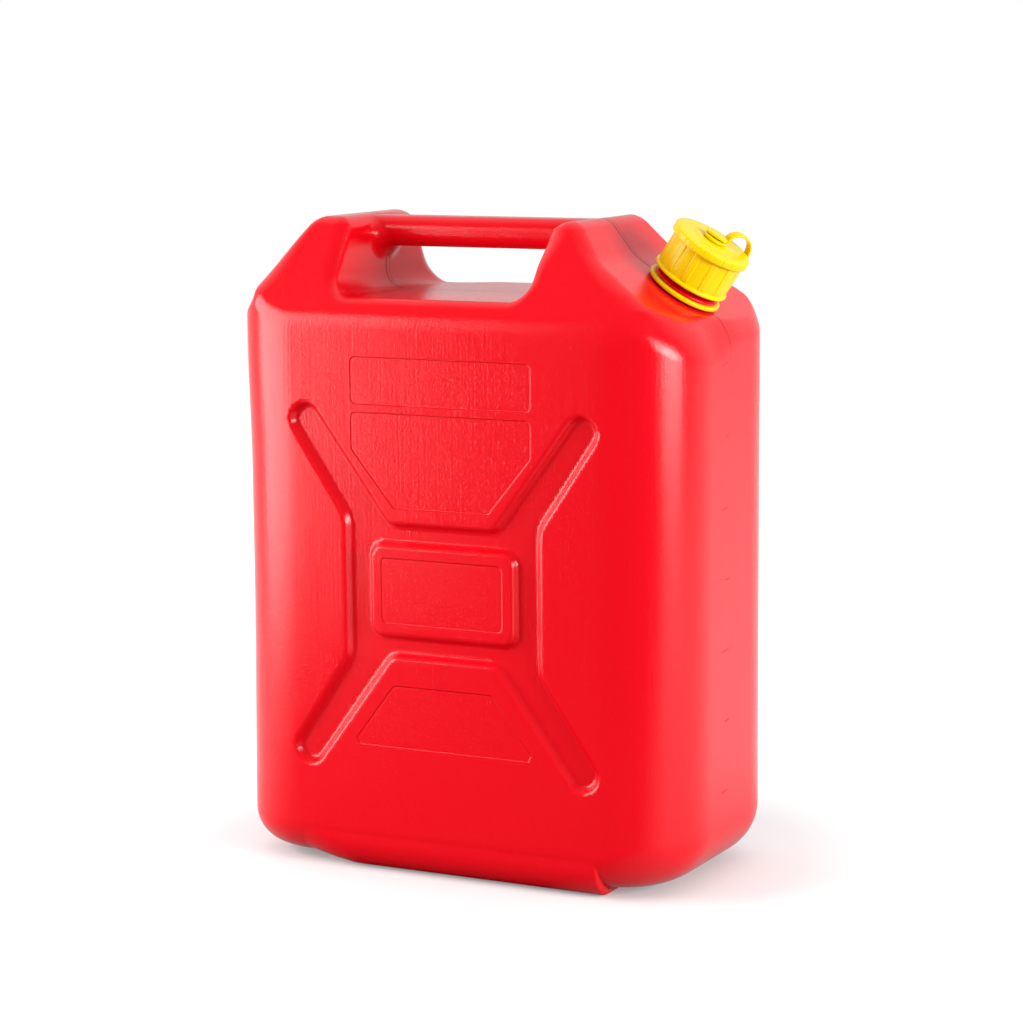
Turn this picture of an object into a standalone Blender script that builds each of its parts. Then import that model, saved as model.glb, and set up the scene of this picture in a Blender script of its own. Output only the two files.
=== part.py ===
"""Fuel can of 20 litres.

One blow-moulded tank carries its own handle bar and its threaded neck. A screw cap
with a gasket closes the neck, and a tether keeps the cap with the can. The can stands
on the plane z = 0, its neck points to +X, and its broad panels face -Y and +Y.
"""

import math

import bmesh
import bpy
from mathutils import Matrix, Vector

# Driving dimensions, in metres and degrees

# Tank body
BODY_WIDTH = 0.331
BODY_DEPTH = 0.1766
TOTAL_HEIGHT = 0.432
WALL = 0.0025
PLAN_RADIUS = 0.050
LEFT_ROOF_PLAN_RADIUS = 0.019
LEFT_PLAN_BLEND = 0.014
RIGHT_ROOF_PLAN_RADIUS = 0.009
RIGHT_PLAN_BLEND = 0.008
TOP_PLAN_RADIUS = 0.010
FLOOR_RADIUS = 0.025
SHOULDER_DROP = 0.065
SHOULDER_RADIUS = 0.020
TOP_DEPTH = 0.100
TOP_RADIUS = 0.012

# Foot, the middle of the underside, which stands lower than its ends
FOOT_LENGTH = 0.215
FOOT_HEIGHT = 0.005
FOOT_RADIUS = 0.022
FOOT_SETBACK = 0.0004
FOOT_END_RADIUS = 0.004

# Left end of the tank's top
LEFT_SHOULDER_DROP = 0.068
LEFT_TOP_INSET = 0.053

# Right end of the tank's top: the neck's slope, then the horn up to the handle
NECK_TILT = 33.4
NECK_SLOPE_DROP = 0.069
NECK_SLOPE_LENGTH = 0.081
HORN_ANGLE = 52.0
HORN_FOOT_RADIUS = 0.030
HORN_TOP_RADIUS = 0.016

# Hand opening and handle bar
LEFT_POST_WIDTH = 0.0785
RIGHT_POST_WIDTH = 0.1090
HAND_OPENING_HEIGHT = 0.0505
HAND_CORNER_RADIUS = 0.0135
LEFT_MOUTH_RADIUS = 0.010
RIGHT_MOUTH_RADIUS = 0.021
FRONT_RIM_RADIUS = 0.009
BACK_RIM_RADIUS = 0.020
FLOOR_RIM_RADIUS = 0.006
BAR_DEPTH = 0.028
BAR_HEIGHT = 0.0205
BAR_TOP_DROP = 0.001
BAR_FLARE = 0.010
BAR_FLARE_LENGTH = 0.020
BAR_ROOT = 0.008

# Cross-shaped recess in each broad panel
RECESS_DEPTH = 0.005
RECESS_SLOPE = 0.005
RECESS_BELOW_MIDDLE = 0.007
WAIST_HALF_WIDTH = 0.0722
WAIST_HALF_HEIGHT = 0.046
WAIST_RADIUS = 0.016
ARM_TIP_ACROSS = 0.1003
ARM_TIP_RISE = 0.110
ARM_TIP_RADIUS = 0.012
ARM_LEAN = 36.6
INNER_HALF_WIDTH = 0.0375
INNER_HALF_HEIGHT = 0.0457
INNER_RADIUS = 0.007
RIDGE_LENGTH = 0.105
RIDGE_HEIGHT = 0.061
RIDGE_RADIUS = 0.009
RIDGE_SLOPE = 0.0035

# Label fields, shallow and blank, with their heights from the recess's middle
FIELD_DEPTH = 0.0006
FIELD_RADIUS = 0.0035
FIELD_HALF_WIDTH = 0.0655
FIELD_TOP_RISE = 0.1525
FIELD_BOTTOM_RISE = 0.1218
FUNNEL_TOP_RISE = 0.1163
FUNNEL_CORNER_RISE = 0.0922
FUNNEL_BOTTOM_RISE = 0.0547
FUNNEL_BOTTOM_HALF = 0.0347
PLATE_LENGTH = 0.0886
PLATE_HEIGHT = 0.0433
BASE_FIELD_TOP_DROP = 0.0630
BASE_FIELD_TOP_HALF = 0.036
BASE_FIELD_CORNER_DROP = 0.1000
BASE_FIELD_HALF = 0.0645
BASE_FIELD_BOTTOM_DROP = 0.1045

# Neck, measured along its own axis from the sloping seat
NECK_EDGE_DISTANCE = 0.041
NECK_RADIUS = 0.0196
NECK_WALL = 0.0026
NECK_HEIGHT = 0.0342
NECK_ROOT = 0.008
COLLAR_RADIUS = 0.0228
COLLAR_HEIGHT = 0.0016
LIP_CHAMFER = 0.0006

# Thread of neck and cap
PITCH = 0.006
THREAD_TURNS = 2.0
THREAD_DEPTH = 0.0017
THREAD_BASE = 0.0028
THREAD_CREST = 0.0014
THREAD_START = 0.0125
THREAD_CLEARANCE = 0.0006
THREAD_LEAD = 40.0
THREAD_EMBED = 0.0006
THREAD_OFFSET = 0.75

# Cap
CAP_RIM_RADIUS = 0.0270
CAP_RIM_HEIGHT = 0.0058
CAP_RIM_EDGE = 0.0010
CAP_SKIRT_THICKNESS = 0.0019
CAP_RIB_PROUD = 0.0007
CAP_RIB_WIDTH = 0.0018
CAP_RIBS = 18
CAP_TOP_THICKNESS = 0.0026
CAP_FLANGE_RADIUS = 0.0260
CAP_FLANGE_HEIGHT = 0.0024
CAP_BOTTOM_HEIGHT = 0.0099
GASKET_THICKNESS = 0.0020
GASKET_WIDTH = 0.0052
GASKET_SIDE_GAP = 0.0005
SEAT_GAP = 0.0003

# Post on the cap and tether
POST_RADIUS = 0.0030
POST_HEAD_RADIUS = 0.0062
POST_HEAD_HEIGHT = 0.0020
EYELET_RADIUS = 0.0080
EYELET_CLEARANCE = 0.0005
EYELET_THICKNESS = 0.0024
RING_RADIUS = 0.0254
RING_CLEARANCE = 0.0005
RING_THICKNESS = 0.0040
STRAP_WIDTH = 0.0060
STRAP_THICKNESS = 0.0018
STRAP_AZIMUTH = 57.0
STRAP_RISE = 0.0100
STRAP_BULGE = 0.0042

# Fineness of the round shapes
CORNER_STEPS = 6
FILLET_STEPS = 4
RIM_STEPS = 3
RIM_SWEEP = 80.0
ROUND_STEPS = 48
THREAD_STEPS = 30

# Places that follow from the sizes above
HALF_WIDTH = BODY_WIDTH / 2
HALF_DEPTH = BODY_DEPTH / 2
SHOULDER_HEIGHT = TOTAL_HEIGHT - SHOULDER_DROP
LEFT_SHOULDER_HEIGHT = TOTAL_HEIGHT - LEFT_SHOULDER_DROP
NECK_SLOPE_HEIGHT = TOTAL_HEIGHT - NECK_SLOPE_DROP
HAND_FLOOR_HEIGHT = TOTAL_HEIGHT - HAND_OPENING_HEIGHT
RECESS_MIDDLE_HEIGHT = (FOOT_HEIGHT + FLOOR_RADIUS + SHOULDER_HEIGHT) / 2 - RECESS_BELOW_MIDDLE
TILT = math.radians(NECK_TILT)
HORN = math.radians(HORN_ANGLE)
CAP_BORE_RADIUS = NECK_RADIUS + THREAD_DEPTH + THREAD_CLEARANCE
CAP_SKIRT_RADIUS = CAP_BORE_RADIUS + CAP_SKIRT_THICKNESS
GASKET_BOTTOM = NECK_HEIGHT + SEAT_GAP
CAP_CEILING = GASKET_BOTTOM + GASKET_THICKNESS + SEAT_GAP
CAP_TOP = CAP_CEILING + CAP_TOP_THICKNESS
RING_BOTTOM = SEAT_GAP
RING_BORE_RADIUS = NECK_RADIUS + THREAD_DEPTH + RING_CLEARANCE
COLLAR_BOTTOM = RING_BOTTOM + RING_THICKNESS + SEAT_GAP
EYELET_BOTTOM = CAP_TOP + SEAT_GAP
EYELET_BORE_RADIUS = POST_RADIUS + EYELET_CLEARANCE
POST_HEAD_BOTTOM = EYELET_BOTTOM + EYELET_THICKNESS + SEAT_GAP
OVERCUT = 0.020
SKIN = 0.003
WELD = 0.000004


# Two-dimensional outlines

def offset_outline(points, distance, closed=True):
    """Moves every side of a polyline to its right by a distance, and meets the sides again at their corners."""
    count = len(points)
    moved = []
    for index in range(count):
        here = Vector(points[index])
        before = Vector(points[index - 1]) if closed or index > 0 else None
        after = Vector(points[(index + 1) % count]) if closed or index < count - 1 else None
        normals = []
        for start, end in ((before, here), (here, after)):
            if start is None or end is None:
                continue
            along = (end - start).normalized()
            normals.append(Vector((along.y, -along.x)))
        if len(normals) == 1:
            moved.append(tuple(here + normals[0] * distance))
            continue
        middle = (normals[0] + normals[1]).normalized()
        moved.append(tuple(here + middle * distance / middle.dot(normals[0])))
    return moved


def turn_at(before, here, after):
    """Positive where a polyline turns left at its middle point."""
    first = Vector(here) - Vector(before)
    second = Vector(after) - Vector(here)
    return first.x * second.y - first.y * second.x


def fillet(before, here, after, radius, steps):
    """Points of the arc that rounds one corner, from its first tangent point to its last."""
    here = Vector(here)
    back = (Vector(before) - here).normalized()
    ahead = (Vector(after) - here).normalized()
    half = back.angle(ahead) / 2
    centre = here + (back + ahead).normalized() * radius / math.sin(half)
    start = here + back * radius / math.tan(half)
    end = here + ahead * radius / math.tan(half)
    from_centre = start - centre
    sweep = (math.pi - 2 * half) * (1 if turn_at(before, here, after) > 0 else -1)
    arc = []
    for step in range(steps + 1):
        angle = sweep * step / steps
        cosine, sine = math.cos(angle), math.sin(angle)
        arc.append((
            centre.x + from_centre.x * cosine - from_centre.y * sine,
            centre.y + from_centre.x * sine + from_centre.y * cosine,
        ))
    arc[-1] = tuple(end)
    return arc


def rounded_outline(corners, inset=0.0, steps=FILLET_STEPS):
    """Rounds a closed anticlockwise outline of (x, y, radius) corners, moved inwards by inset."""
    flat = [(x, y) for x, y, _ in corners]
    moved = offset_outline(flat, -inset)
    outline = []
    count = len(flat)
    for index in range(count):
        left_turn = turn_at(flat[index - 1], flat[index], flat[(index + 1) % count]) > 0
        radius = max(corners[index][2] + (-inset if left_turn else inset), 0.0004)
        outline += fillet(moved[index - 1], moved[index], moved[(index + 1) % count], radius, steps)
    return outline


def rounded_path(corners, inset=0.0, steps=FILLET_STEPS):
    """Rounds the inner corners of an open path, moved to its left by inset, and drops its two ends."""
    flat = [(x, z) for x, z, _ in corners]
    moved = offset_outline(flat, -inset, closed=False)
    path = []
    for index in range(1, len(flat) - 1):
        left_turn = turn_at(flat[index - 1], flat[index], flat[index + 1]) > 0
        radius = max(corners[index][2] + (-inset if left_turn else inset), 0.0004)
        path += fillet(moved[index - 1], moved[index], moved[index + 1], radius, steps)
    return path


def mirrored(corners):
    """Adds the left half of an outline whose right half runs anticlockwise from bottom to top."""
    return corners + [(-x, *rest) for x, *rest in reversed(corners)]


def rectangle(half_length, bottom, top, radius):
    """Corners of an upright rectangle, centred on the axis, with round corners."""
    return mirrored([(half_length, bottom, radius), (half_length, top, radius)])


# Meshes

def make_object(name, mesh, matrix=None):
    """Links a new object with a mesh, and applies a matrix to the mesh itself."""
    if matrix is not None:
        mesh.transform(matrix)
    made = bpy.data.objects.new(name, mesh)
    bpy.context.scene.collection.objects.link(made)
    return made


def finish_mesh(name, shape, matrix=None):
    """Turns a closed bmesh into an object whose faces point outwards."""
    bmesh.ops.recalc_face_normals(shape, faces=shape.faces)
    mesh = bpy.data.meshes.new(name)
    shape.to_mesh(mesh)
    shape.free()
    return make_object(name, mesh, matrix)


def loft(name, rings, matrix=None):
    """Closed solid through rings of points that all have the same count."""
    shape = bmesh.new()
    loops = [[shape.verts.new(point) for point in ring] for ring in rings]
    count = len(rings[0])
    for lower, upper in zip(loops, loops[1:]):
        for index in range(count):
            following = (index + 1) % count
            shape.faces.new((lower[index], lower[following], upper[following], upper[index]))
    shape.faces.new(list(reversed(loops[0])))
    shape.faces.new(loops[-1])
    return finish_mesh(name, shape, matrix)


def turned(name, profile, matrix=None, steps=ROUND_STEPS):
    """Turns an (r, z) profile about Z with a Screw modifier. It runs down the outer side."""
    mesh = bpy.data.meshes.new(name)
    edges = [(index, index + 1) for index in range(len(profile) - 1)]
    if profile[0][0] > 0:
        edges.append((len(profile) - 1, 0))
    mesh.from_pydata([(r, 0.0, z) for r, z in profile], edges, [])
    made = make_object(name, mesh)
    screw = made.modifiers.new("turn", "SCREW")
    screw.axis = "Z"
    screw.steps = steps
    screw.render_steps = steps
    screw.use_merge_vertices = True
    screw.merge_threshold = 0.00001
    return frozen(made, matrix)


def frozen(source, matrix=None):
    """Replaces an object by one whose mesh has the modifiers applied."""
    graph = bpy.context.evaluated_depsgraph_get()
    name = source.name
    mesh = bpy.data.meshes.new_from_object(source.evaluated_get(graph))
    bpy.data.objects.remove(source)
    made = make_object(name, mesh, matrix)
    made.name = name
    return made


def combine(target, tool, operation):
    """Joins or cuts a solid with another one, which is used up, and welds points that fall together."""
    change = target.modifiers.new(operation.lower(), "BOOLEAN")
    change.operation = operation
    change.object = tool
    change.solver = "EXACT"
    made = frozen(target)
    bpy.data.objects.remove(tool)
    shape = bmesh.new()
    shape.from_mesh(made.data)
    bmesh.ops.remove_doubles(shape, verts=shape.verts, dist=WELD)
    bmesh.ops.dissolve_degenerate(shape, edges=shape.edges, dist=WELD)
    shape.to_mesh(made.data)
    shape.free()
    return made


def neck_matrix():
    """Neck frame: its origin is the seat's centre and its Z is the neck's axis."""
    across = HALF_WIDTH - NECK_EDGE_DISTANCE * math.cos(TILT)
    up = NECK_SLOPE_HEIGHT + NECK_EDGE_DISTANCE * math.sin(TILT)
    return Matrix.Translation((across, 0.0, up)) @ Matrix.Rotation(TILT, 4, "Y")


# Tank

def right_path():
    """Side view of the tank's right end, from the floor up to the horn's top."""
    foot_x = HALF_WIDTH - NECK_SLOPE_LENGTH * math.cos(TILT)
    foot_z = NECK_SLOPE_HEIGHT + NECK_SLOPE_LENGTH * math.sin(TILT)
    top_x = foot_x - (TOTAL_HEIGHT - foot_z) / math.tan(HORN)
    return [
        (0.0, FOOT_HEIGHT, 0.0),
        (HALF_WIDTH, FOOT_HEIGHT, FLOOR_RADIUS),
        (HALF_WIDTH, NECK_SLOPE_HEIGHT, SHOULDER_RADIUS),
        (foot_x, foot_z, HORN_FOOT_RADIUS),
        (top_x, TOTAL_HEIGHT, HORN_TOP_RADIUS),
        (0.0, TOTAL_HEIGHT, 0.0),
    ]


def left_path():
    """Side view of the tank's left end, drawn as if it faced right."""
    return [
        (0.0, FOOT_HEIGHT, 0.0),
        (HALF_WIDTH, FOOT_HEIGHT, FLOOR_RADIUS),
        (HALF_WIDTH, LEFT_SHOULDER_HEIGHT, SHOULDER_RADIUS),
        (HALF_WIDTH - LEFT_TOP_INSET, TOTAL_HEIGHT, TOP_RADIUS),
        (0.0, TOTAL_HEIGHT, 0.0),
    ]


def depth_path():
    """End view of one broad face, from the floor up over the leaning roof."""
    return [
        (0.0, FOOT_HEIGHT, 0.0),
        (HALF_DEPTH, FOOT_HEIGHT, FLOOR_RADIUS),
        (HALF_DEPTH, SHOULDER_HEIGHT, SHOULDER_RADIUS),
        (TOP_DEPTH / 2, TOTAL_HEIGHT, TOP_RADIUS),
        (0.0, TOTAL_HEIGHT, 0.0),
    ]


def reach_at(path, height):
    """How far a path reaches sideways at one height."""
    for (low_x, low_z), (high_x, high_z) in zip(path, path[1:]):
        if low_z <= height <= high_z and high_z > low_z:
            return low_x + (high_x - low_x) * (height - low_z) / (high_z - low_z)
    return path[0][0] if height < path[0][1] else path[-1][0]


def plan_radius_at(height, roof_radius, blend):
    """Plan radius of a level above the shoulder, where it falls to the roof's and then to the top's."""
    top_share = min(max((height - SHOULDER_HEIGHT) / (TOTAL_HEIGHT - SHOULDER_HEIGHT), 0.0), 1.0)
    above = roof_radius + (TOP_PLAN_RADIUS - roof_radius) * top_share
    share = min(max((height - SHOULDER_HEIGHT) / blend, 0.0), 1.0)
    return PLAN_RADIUS + (above - PLAN_RADIUS) * share


def body_loft(name, inset, steps):
    """The tank's body without opening, bar and neck. An inset makes its hollow."""
    right = rounded_path(right_path(), inset, steps)
    left = rounded_path(left_path(), inset, steps)
    depth = rounded_path(depth_path(), inset, steps)
    heights = sorted({round(z, 6) for path in (right, left, depth) for _, z in path})
    levels = [heights[0]]
    for height in heights[1:]:
        if height - levels[-1] > 0.0004:
            levels.append(height)
    levels[-1] = heights[-1]
    rings = []
    for height in levels:
        reach = reach_at(depth, height)
        drawn_in = inset
        if height < SHOULDER_HEIGHT / 2:
            drawn_in = HALF_DEPTH - reach
        left_radius = plan_radius_at(height, LEFT_ROOF_PLAN_RADIUS, LEFT_PLAN_BLEND) - drawn_in
        right_radius = plan_radius_at(height, RIGHT_ROOF_PLAN_RADIUS, RIGHT_PLAN_BLEND) - drawn_in
        corners = [
            (reach_at(right, height), -reach, right_radius),
            (reach_at(right, height), reach, right_radius),
            (-reach_at(left, height), reach, left_radius),
            (-reach_at(left, height), -reach, left_radius),
        ]
        outline = rounded_outline(corners, 0.0, CORNER_STEPS)
        rings.append([(x, y, height) for x, y in outline])
    return loft(name, rings)


def foot(name, inset):
    """The lower middle of the tank's underside, or with an inset the hollow in it.

    Its broad sides run into the tank's own and are rounded below, and its ends are steps.
    """
    radius = FOOT_RADIUS - inset
    levels = []
    for step in range(FILLET_STEPS + 1):
        angle = math.pi / 2 * step / FILLET_STEPS
        levels.append((inset + radius * (1 - math.cos(angle)), radius * (1 - math.sin(angle))))
    levels.append((FOOT_HEIGHT + FLOOR_RADIUS, 0.0))
    levels.append((FOOT_HEIGHT + FLOOR_RADIUS + 2 * SKIN, 2 * SKIN))
    rings = []
    for height, drawn_in in levels:
        half_length = FOOT_LENGTH / 2 - inset
        half_depth = HALF_DEPTH - FOOT_SETBACK - inset - drawn_in
        corners = [
            (half_length, -half_depth, FOOT_END_RADIUS),
            (half_length, half_depth, FOOT_END_RADIUS),
            (-half_length, half_depth, FOOT_END_RADIUS),
            (-half_length, -half_depth, FOOT_END_RADIUS),
        ]
        outline = rounded_outline(corners)
        rings.append([(x, y, height) for x, y in outline])
    return loft(name, rings)


def hand_opening(name, grow):
    """Cutter for the opening under and beside the bar, whose rim is rounded where it meets the roof.

    Grown by the wall, it keeps the hollow away from the opening.
    """
    left = -HALF_WIDTH + LEFT_POST_WIDTH
    right = HALF_WIDTH - RIGHT_POST_WIDTH
    flare = 4 * RIGHT_MOUTH_RADIUS
    small = LEFT_MOUTH_RADIUS / 8
    corners = [
        (left, HAND_FLOOR_HEIGHT, HAND_CORNER_RADIUS),
        (right, HAND_FLOOR_HEIGHT, HAND_CORNER_RADIUS),
        (right, TOTAL_HEIGHT, RIGHT_MOUTH_RADIUS),
        (right + flare, TOTAL_HEIGHT + small, small),
        (right + flare, TOTAL_HEIGHT + OVERCUT, small),
        (left - flare, TOTAL_HEIGHT + OVERCUT, small),
        (left - flare, TOTAL_HEIGHT + small, small),
        (left, TOTAL_HEIGHT, LEFT_MOUTH_RADIUS),
    ]
    outline = rounded_outline(corners, -grow)
    roof = rounded_path(depth_path(), grow)
    middle = (left + right) / 2
    rings = []
    for side, rim in ((1, BACK_RIM_RADIUS), (-1, FRONT_RIM_RADIUS)):
        rings_of_side = []
        for step in range(RIM_STEPS + 2):
            angle = math.radians(RIM_SWEEP) * min(step, RIM_STEPS) / RIM_STEPS
            ring = []
            for x, z in outline:
                on_wall = min(max((z - HAND_FLOOR_HEIGHT + grow) / HAND_CORNER_RADIUS, 0.0), 1.0)
                radius = rim * on_wall + FLOOR_RIM_RADIUS * (1 - on_wall) - grow
                spread = radius * (1 - math.cos(angle))
                place_x = x + math.copysign(spread * on_wall, x - middle)
                place_z = z - spread * (1 - on_wall)
                reach = reach_at(roof, place_z) - radius * (1 - math.sin(angle))
                if step > RIM_STEPS:
                    reach = HALF_DEPTH + OVERCUT
                ring.append((place_x, side * reach, place_z))
            rings_of_side.append(ring)
        rings = list(reversed(rings_of_side)) if side > 0 else rings + rings_of_side
    return loft(name, rings)


def handle_bar(name, inset):
    """The bar between the posts: an oval that grows downwards as it nears its left post."""
    left = -HALF_WIDTH + LEFT_POST_WIDTH
    right = HALF_WIDTH - RIGHT_POST_WIDTH
    root = BAR_ROOT + 2 * inset
    stations = [left - root, left, left + BAR_FLARE_LENGTH / 3, left + 2 * BAR_FLARE_LENGTH / 3]
    stations += [left + BAR_FLARE_LENGTH, right - BAR_FLARE_LENGTH / 2, right, right + root]
    top = TOTAL_HEIGHT - BAR_TOP_DROP
    rings = []
    for x in stations:
        near = min(max(1 - (x - left) / BAR_FLARE_LENGTH, 0.0), 1.0)
        drop = BAR_FLARE * near * near
        half_height = (BAR_HEIGHT + drop) / 2 - inset
        half_depth = BAR_DEPTH / 2 + drop / 2 - inset
        centre = top - (BAR_HEIGHT + drop) / 2
        ring = []
        for step in range(4 * CORNER_STEPS):
            angle = 2 * math.pi * step / (4 * CORNER_STEPS)
            flat = 1.0 / (abs(math.cos(angle)) ** 2.6 + abs(math.sin(angle)) ** 2.6) ** (1 / 2.6)
            y = half_depth * math.cos(angle) * flat
            z = centre + half_height * math.sin(angle) * flat
            ring.append((x, y, z))
        rings.append(ring)
    return loft(name, rings)


def cross_corners():
    """Corners of the cross-shaped recess at the panel's surface, about the panel's middle."""
    lean = math.radians(ARM_LEAN)
    along = Vector((math.sin(lean), math.cos(lean)))
    across = Vector((along.y, -along.x))
    tip = Vector((ARM_TIP_ACROSS, ARM_TIP_RISE))
    outer = tip + (along + across) * ARM_TIP_RADIUS
    inner = tip + (along - across) * ARM_TIP_RADIUS
    tip_round = ARM_TIP_RADIUS * 0.96
    upper = [
        (WAIST_HALF_WIDTH, WAIST_HALF_HEIGHT, WAIST_RADIUS),
        (outer.x, outer.y, tip_round),
        (inner.x, inner.y, tip_round),
        (INNER_HALF_WIDTH, INNER_HALF_HEIGHT, INNER_RADIUS),
    ]
    lower = [(x, -z, radius) for x, z, radius in reversed(upper)]
    half = lower + upper
    return mirrored([(x, z + RECESS_MIDDLE_HEIGHT, radius) for x, z, radius in half])


def panel_frustum(name, corners, slope, depth, grow):
    """Cutter with leaning sides for the -Y panel, from outside its face to its floor."""
    outside = OVERCUT / 4
    per_depth = slope / RECESS_DEPTH
    rings = []
    for level in (-outside, depth + grow):
        inset = (level - grow) * per_depth - grow
        outline = rounded_outline(corners, inset)
        rings.append([(x, level - HALF_DEPTH, z) for x, z in outline])
    return loft(name, rings)


def recess_cutter(name, grow):
    """The cross-shaped recess, less the raised block in its middle."""
    cross = panel_frustum(name, cross_corners(), RECESS_SLOPE, RECESS_DEPTH, grow)
    low = RECESS_MIDDLE_HEIGHT - RIDGE_HEIGHT / 2
    block = rectangle(RIDGE_LENGTH / 2, low, low + RIDGE_HEIGHT, RIDGE_RADIUS)
    rings = []
    for level in (-OVERCUT / 2, RECESS_DEPTH + grow + SKIN):
        spread = (level - RECESS_DEPTH / 2) * RIDGE_SLOPE / RECESS_DEPTH
        outline = rounded_outline(block, grow - spread)
        rings.append([(x, level - HALF_DEPTH, z) for x, z in outline])
    return combine(cross, loft("ridge", rings), "DIFFERENCE")


def label_corners():
    """Corners of the four blank fields of a panel."""
    middle = RECESS_MIDDLE_HEIGHT
    top_field = rectangle(FIELD_HALF_WIDTH, middle + FIELD_BOTTOM_RISE, middle + FIELD_TOP_RISE, FIELD_RADIUS)
    funnel_field = mirrored([
        (FUNNEL_BOTTOM_HALF, middle + FUNNEL_BOTTOM_RISE, FIELD_RADIUS),
        (FIELD_HALF_WIDTH, middle + FUNNEL_CORNER_RISE, FIELD_RADIUS),
        (FIELD_HALF_WIDTH, middle + FUNNEL_TOP_RISE, FIELD_RADIUS),
    ])
    low = middle - PLATE_HEIGHT / 2
    plate = rectangle(PLATE_LENGTH / 2, low, low + PLATE_HEIGHT, FIELD_RADIUS)
    base_field = mirrored([
        (BASE_FIELD_HALF - FIELD_RADIUS / 2, middle - BASE_FIELD_BOTTOM_DROP, FIELD_RADIUS / 2),
        (BASE_FIELD_HALF, middle - BASE_FIELD_CORNER_DROP, FIELD_RADIUS / 2),
        (BASE_FIELD_TOP_HALF, middle - BASE_FIELD_TOP_DROP, FIELD_RADIUS),
    ])
    return [top_field, funnel_field, plate, base_field]


def panel_cutters(name, grow, with_fields):
    """Cutters for both broad panels, which are alike after half a turn of the tank."""
    pieces = [recess_cutter(name, grow)]
    if with_fields:
        pieces += [panel_frustum("field", corners, 0.0, FIELD_DEPTH, grow) for corners in label_corners()]
    shape = bmesh.new()
    for half_turns in (0, 1):
        for piece in pieces:
            piece.data.transform(Matrix.Rotation(math.pi * half_turns, 4, "Z"))
            shape.from_mesh(piece.data)
    for piece in pieces:
        bpy.data.objects.remove(piece)
    return finish_mesh(name, shape)


def helix(name, root, crest, start, matrix):
    """Right-handed thread between a root and a crest radius, which fades at both ends."""
    total = int(THREAD_TURNS * THREAD_STEPS)
    lead = math.radians(THREAD_LEAD)
    sweep = 2 * math.pi * THREAD_TURNS
    outwards = 1 if crest > root else -1
    buried = root - outwards * THREAD_EMBED
    rings = []
    for step in range(total + 1):
        angle = sweep * step / total
        turned_by = angle + math.radians(THREAD_OFFSET)
        grown = min(1.0, angle / lead, (sweep - angle) / lead)
        tip = root + (crest - root) * grown - outwards * THREAD_EMBED * 0.5 * (1 - grown)
        height = start + PITCH * angle / (2 * math.pi)
        section = (
            (buried, height - THREAD_BASE / 2),
            (tip, height - THREAD_CREST / 2),
            (tip, height + THREAD_CREST / 2),
            (buried, height + THREAD_BASE / 2),
        )
        cosine, sine = math.cos(turned_by), math.sin(turned_by)
        rings.append([(r * cosine, r * sine, z) for r, z in section])
    return loft(name, rings, matrix)


def neck_solid(matrix):
    """Neck without its bore: root, collar above the tether ring, plain tube and lip."""
    profile = [
        (0.0, NECK_HEIGHT),
        (NECK_RADIUS - LIP_CHAMFER, NECK_HEIGHT),
        (NECK_RADIUS, NECK_HEIGHT - LIP_CHAMFER),
        (NECK_RADIUS, COLLAR_BOTTOM + 2 * COLLAR_HEIGHT),
        (COLLAR_RADIUS, COLLAR_BOTTOM + COLLAR_HEIGHT),
        (COLLAR_RADIUS, COLLAR_BOTTOM),
        (NECK_RADIUS, COLLAR_BOTTOM),
        (NECK_RADIUS, -NECK_ROOT),
        (0.0, -NECK_ROOT),
    ]
    return turned("neck", profile, matrix)


def bore_solid(matrix):
    """The neck's bore, from inside the tank to past the lip."""
    radius = NECK_RADIUS - NECK_WALL
    top = NECK_HEIGHT + OVERCUT / 2
    bottom = -NECK_ROOT - OVERCUT / 2
    return turned("bore", [(0.0, top), (radius, top), (radius, bottom), (0.0, bottom)], matrix)


def make_tank():
    """The whole blow moulding: its outer shape, less its hollow."""
    to_neck = neck_matrix()

    outer = body_loft("tank", 0.0, FILLET_STEPS)
    outer = combine(outer, foot("foot", 0.0), "UNION")
    outer = combine(outer, panel_cutters("panels", 0.0, True), "DIFFERENCE")
    outer = combine(outer, hand_opening("opening", 0.0), "DIFFERENCE")
    outer = combine(outer, handle_bar("bar", 0.0), "UNION")
    neck = neck_solid(to_neck)
    thread = helix("thread", NECK_RADIUS, NECK_RADIUS + THREAD_DEPTH, THREAD_START, to_neck)
    neck = combine(neck, thread, "UNION")
    outer = combine(outer, neck, "UNION")

    hollow = body_loft("hollow", WALL, FILLET_STEPS // 2)
    hollow = combine(hollow, foot("foot_hollow", WALL), "UNION")
    hollow = combine(hollow, panel_cutters("panels", WALL, False), "DIFFERENCE")
    hollow = combine(hollow, hand_opening("opening", WALL), "DIFFERENCE")
    hollow = combine(hollow, handle_bar("bar_hollow", WALL), "UNION")
    hollow = combine(hollow, bore_solid(to_neck), "UNION")
    return combine(outer, hollow, "DIFFERENCE")


# Cap, gasket and tether, all made in the neck's frame

def ribbed_sleeve(name, bottom, top, matrix):
    """Ring of upright grip ribs round the skirt."""
    outline = []
    half = CAP_RIB_WIDTH / 2 / CAP_SKIRT_RADIUS
    inner = CAP_SKIRT_RADIUS - CAP_SKIRT_THICKNESS / 2
    outer = CAP_SKIRT_RADIUS + CAP_RIB_PROUD
    low = CAP_SKIRT_RADIUS - CAP_SKIRT_THICKNESS / 4
    for rib in range(CAP_RIBS):
        middle = 2 * math.pi * rib / CAP_RIBS
        for angle, radius in ((-1.5, low), (-1, outer), (1, outer), (1.5, low)):
            turned_by = middle + angle * half
            outline.append((radius * math.cos(turned_by), radius * math.sin(turned_by)))
    sleeve = loft(name, [[(x, y, z) for x, y in outline] for z in (bottom, top)], matrix)
    profile = [(0.0, top + SKIN), (inner, top + SKIN), (inner, bottom - SKIN), (0.0, bottom - SKIN)]
    return combine(sleeve, turned("sleeve_bore", profile, matrix), "DIFFERENCE")


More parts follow.
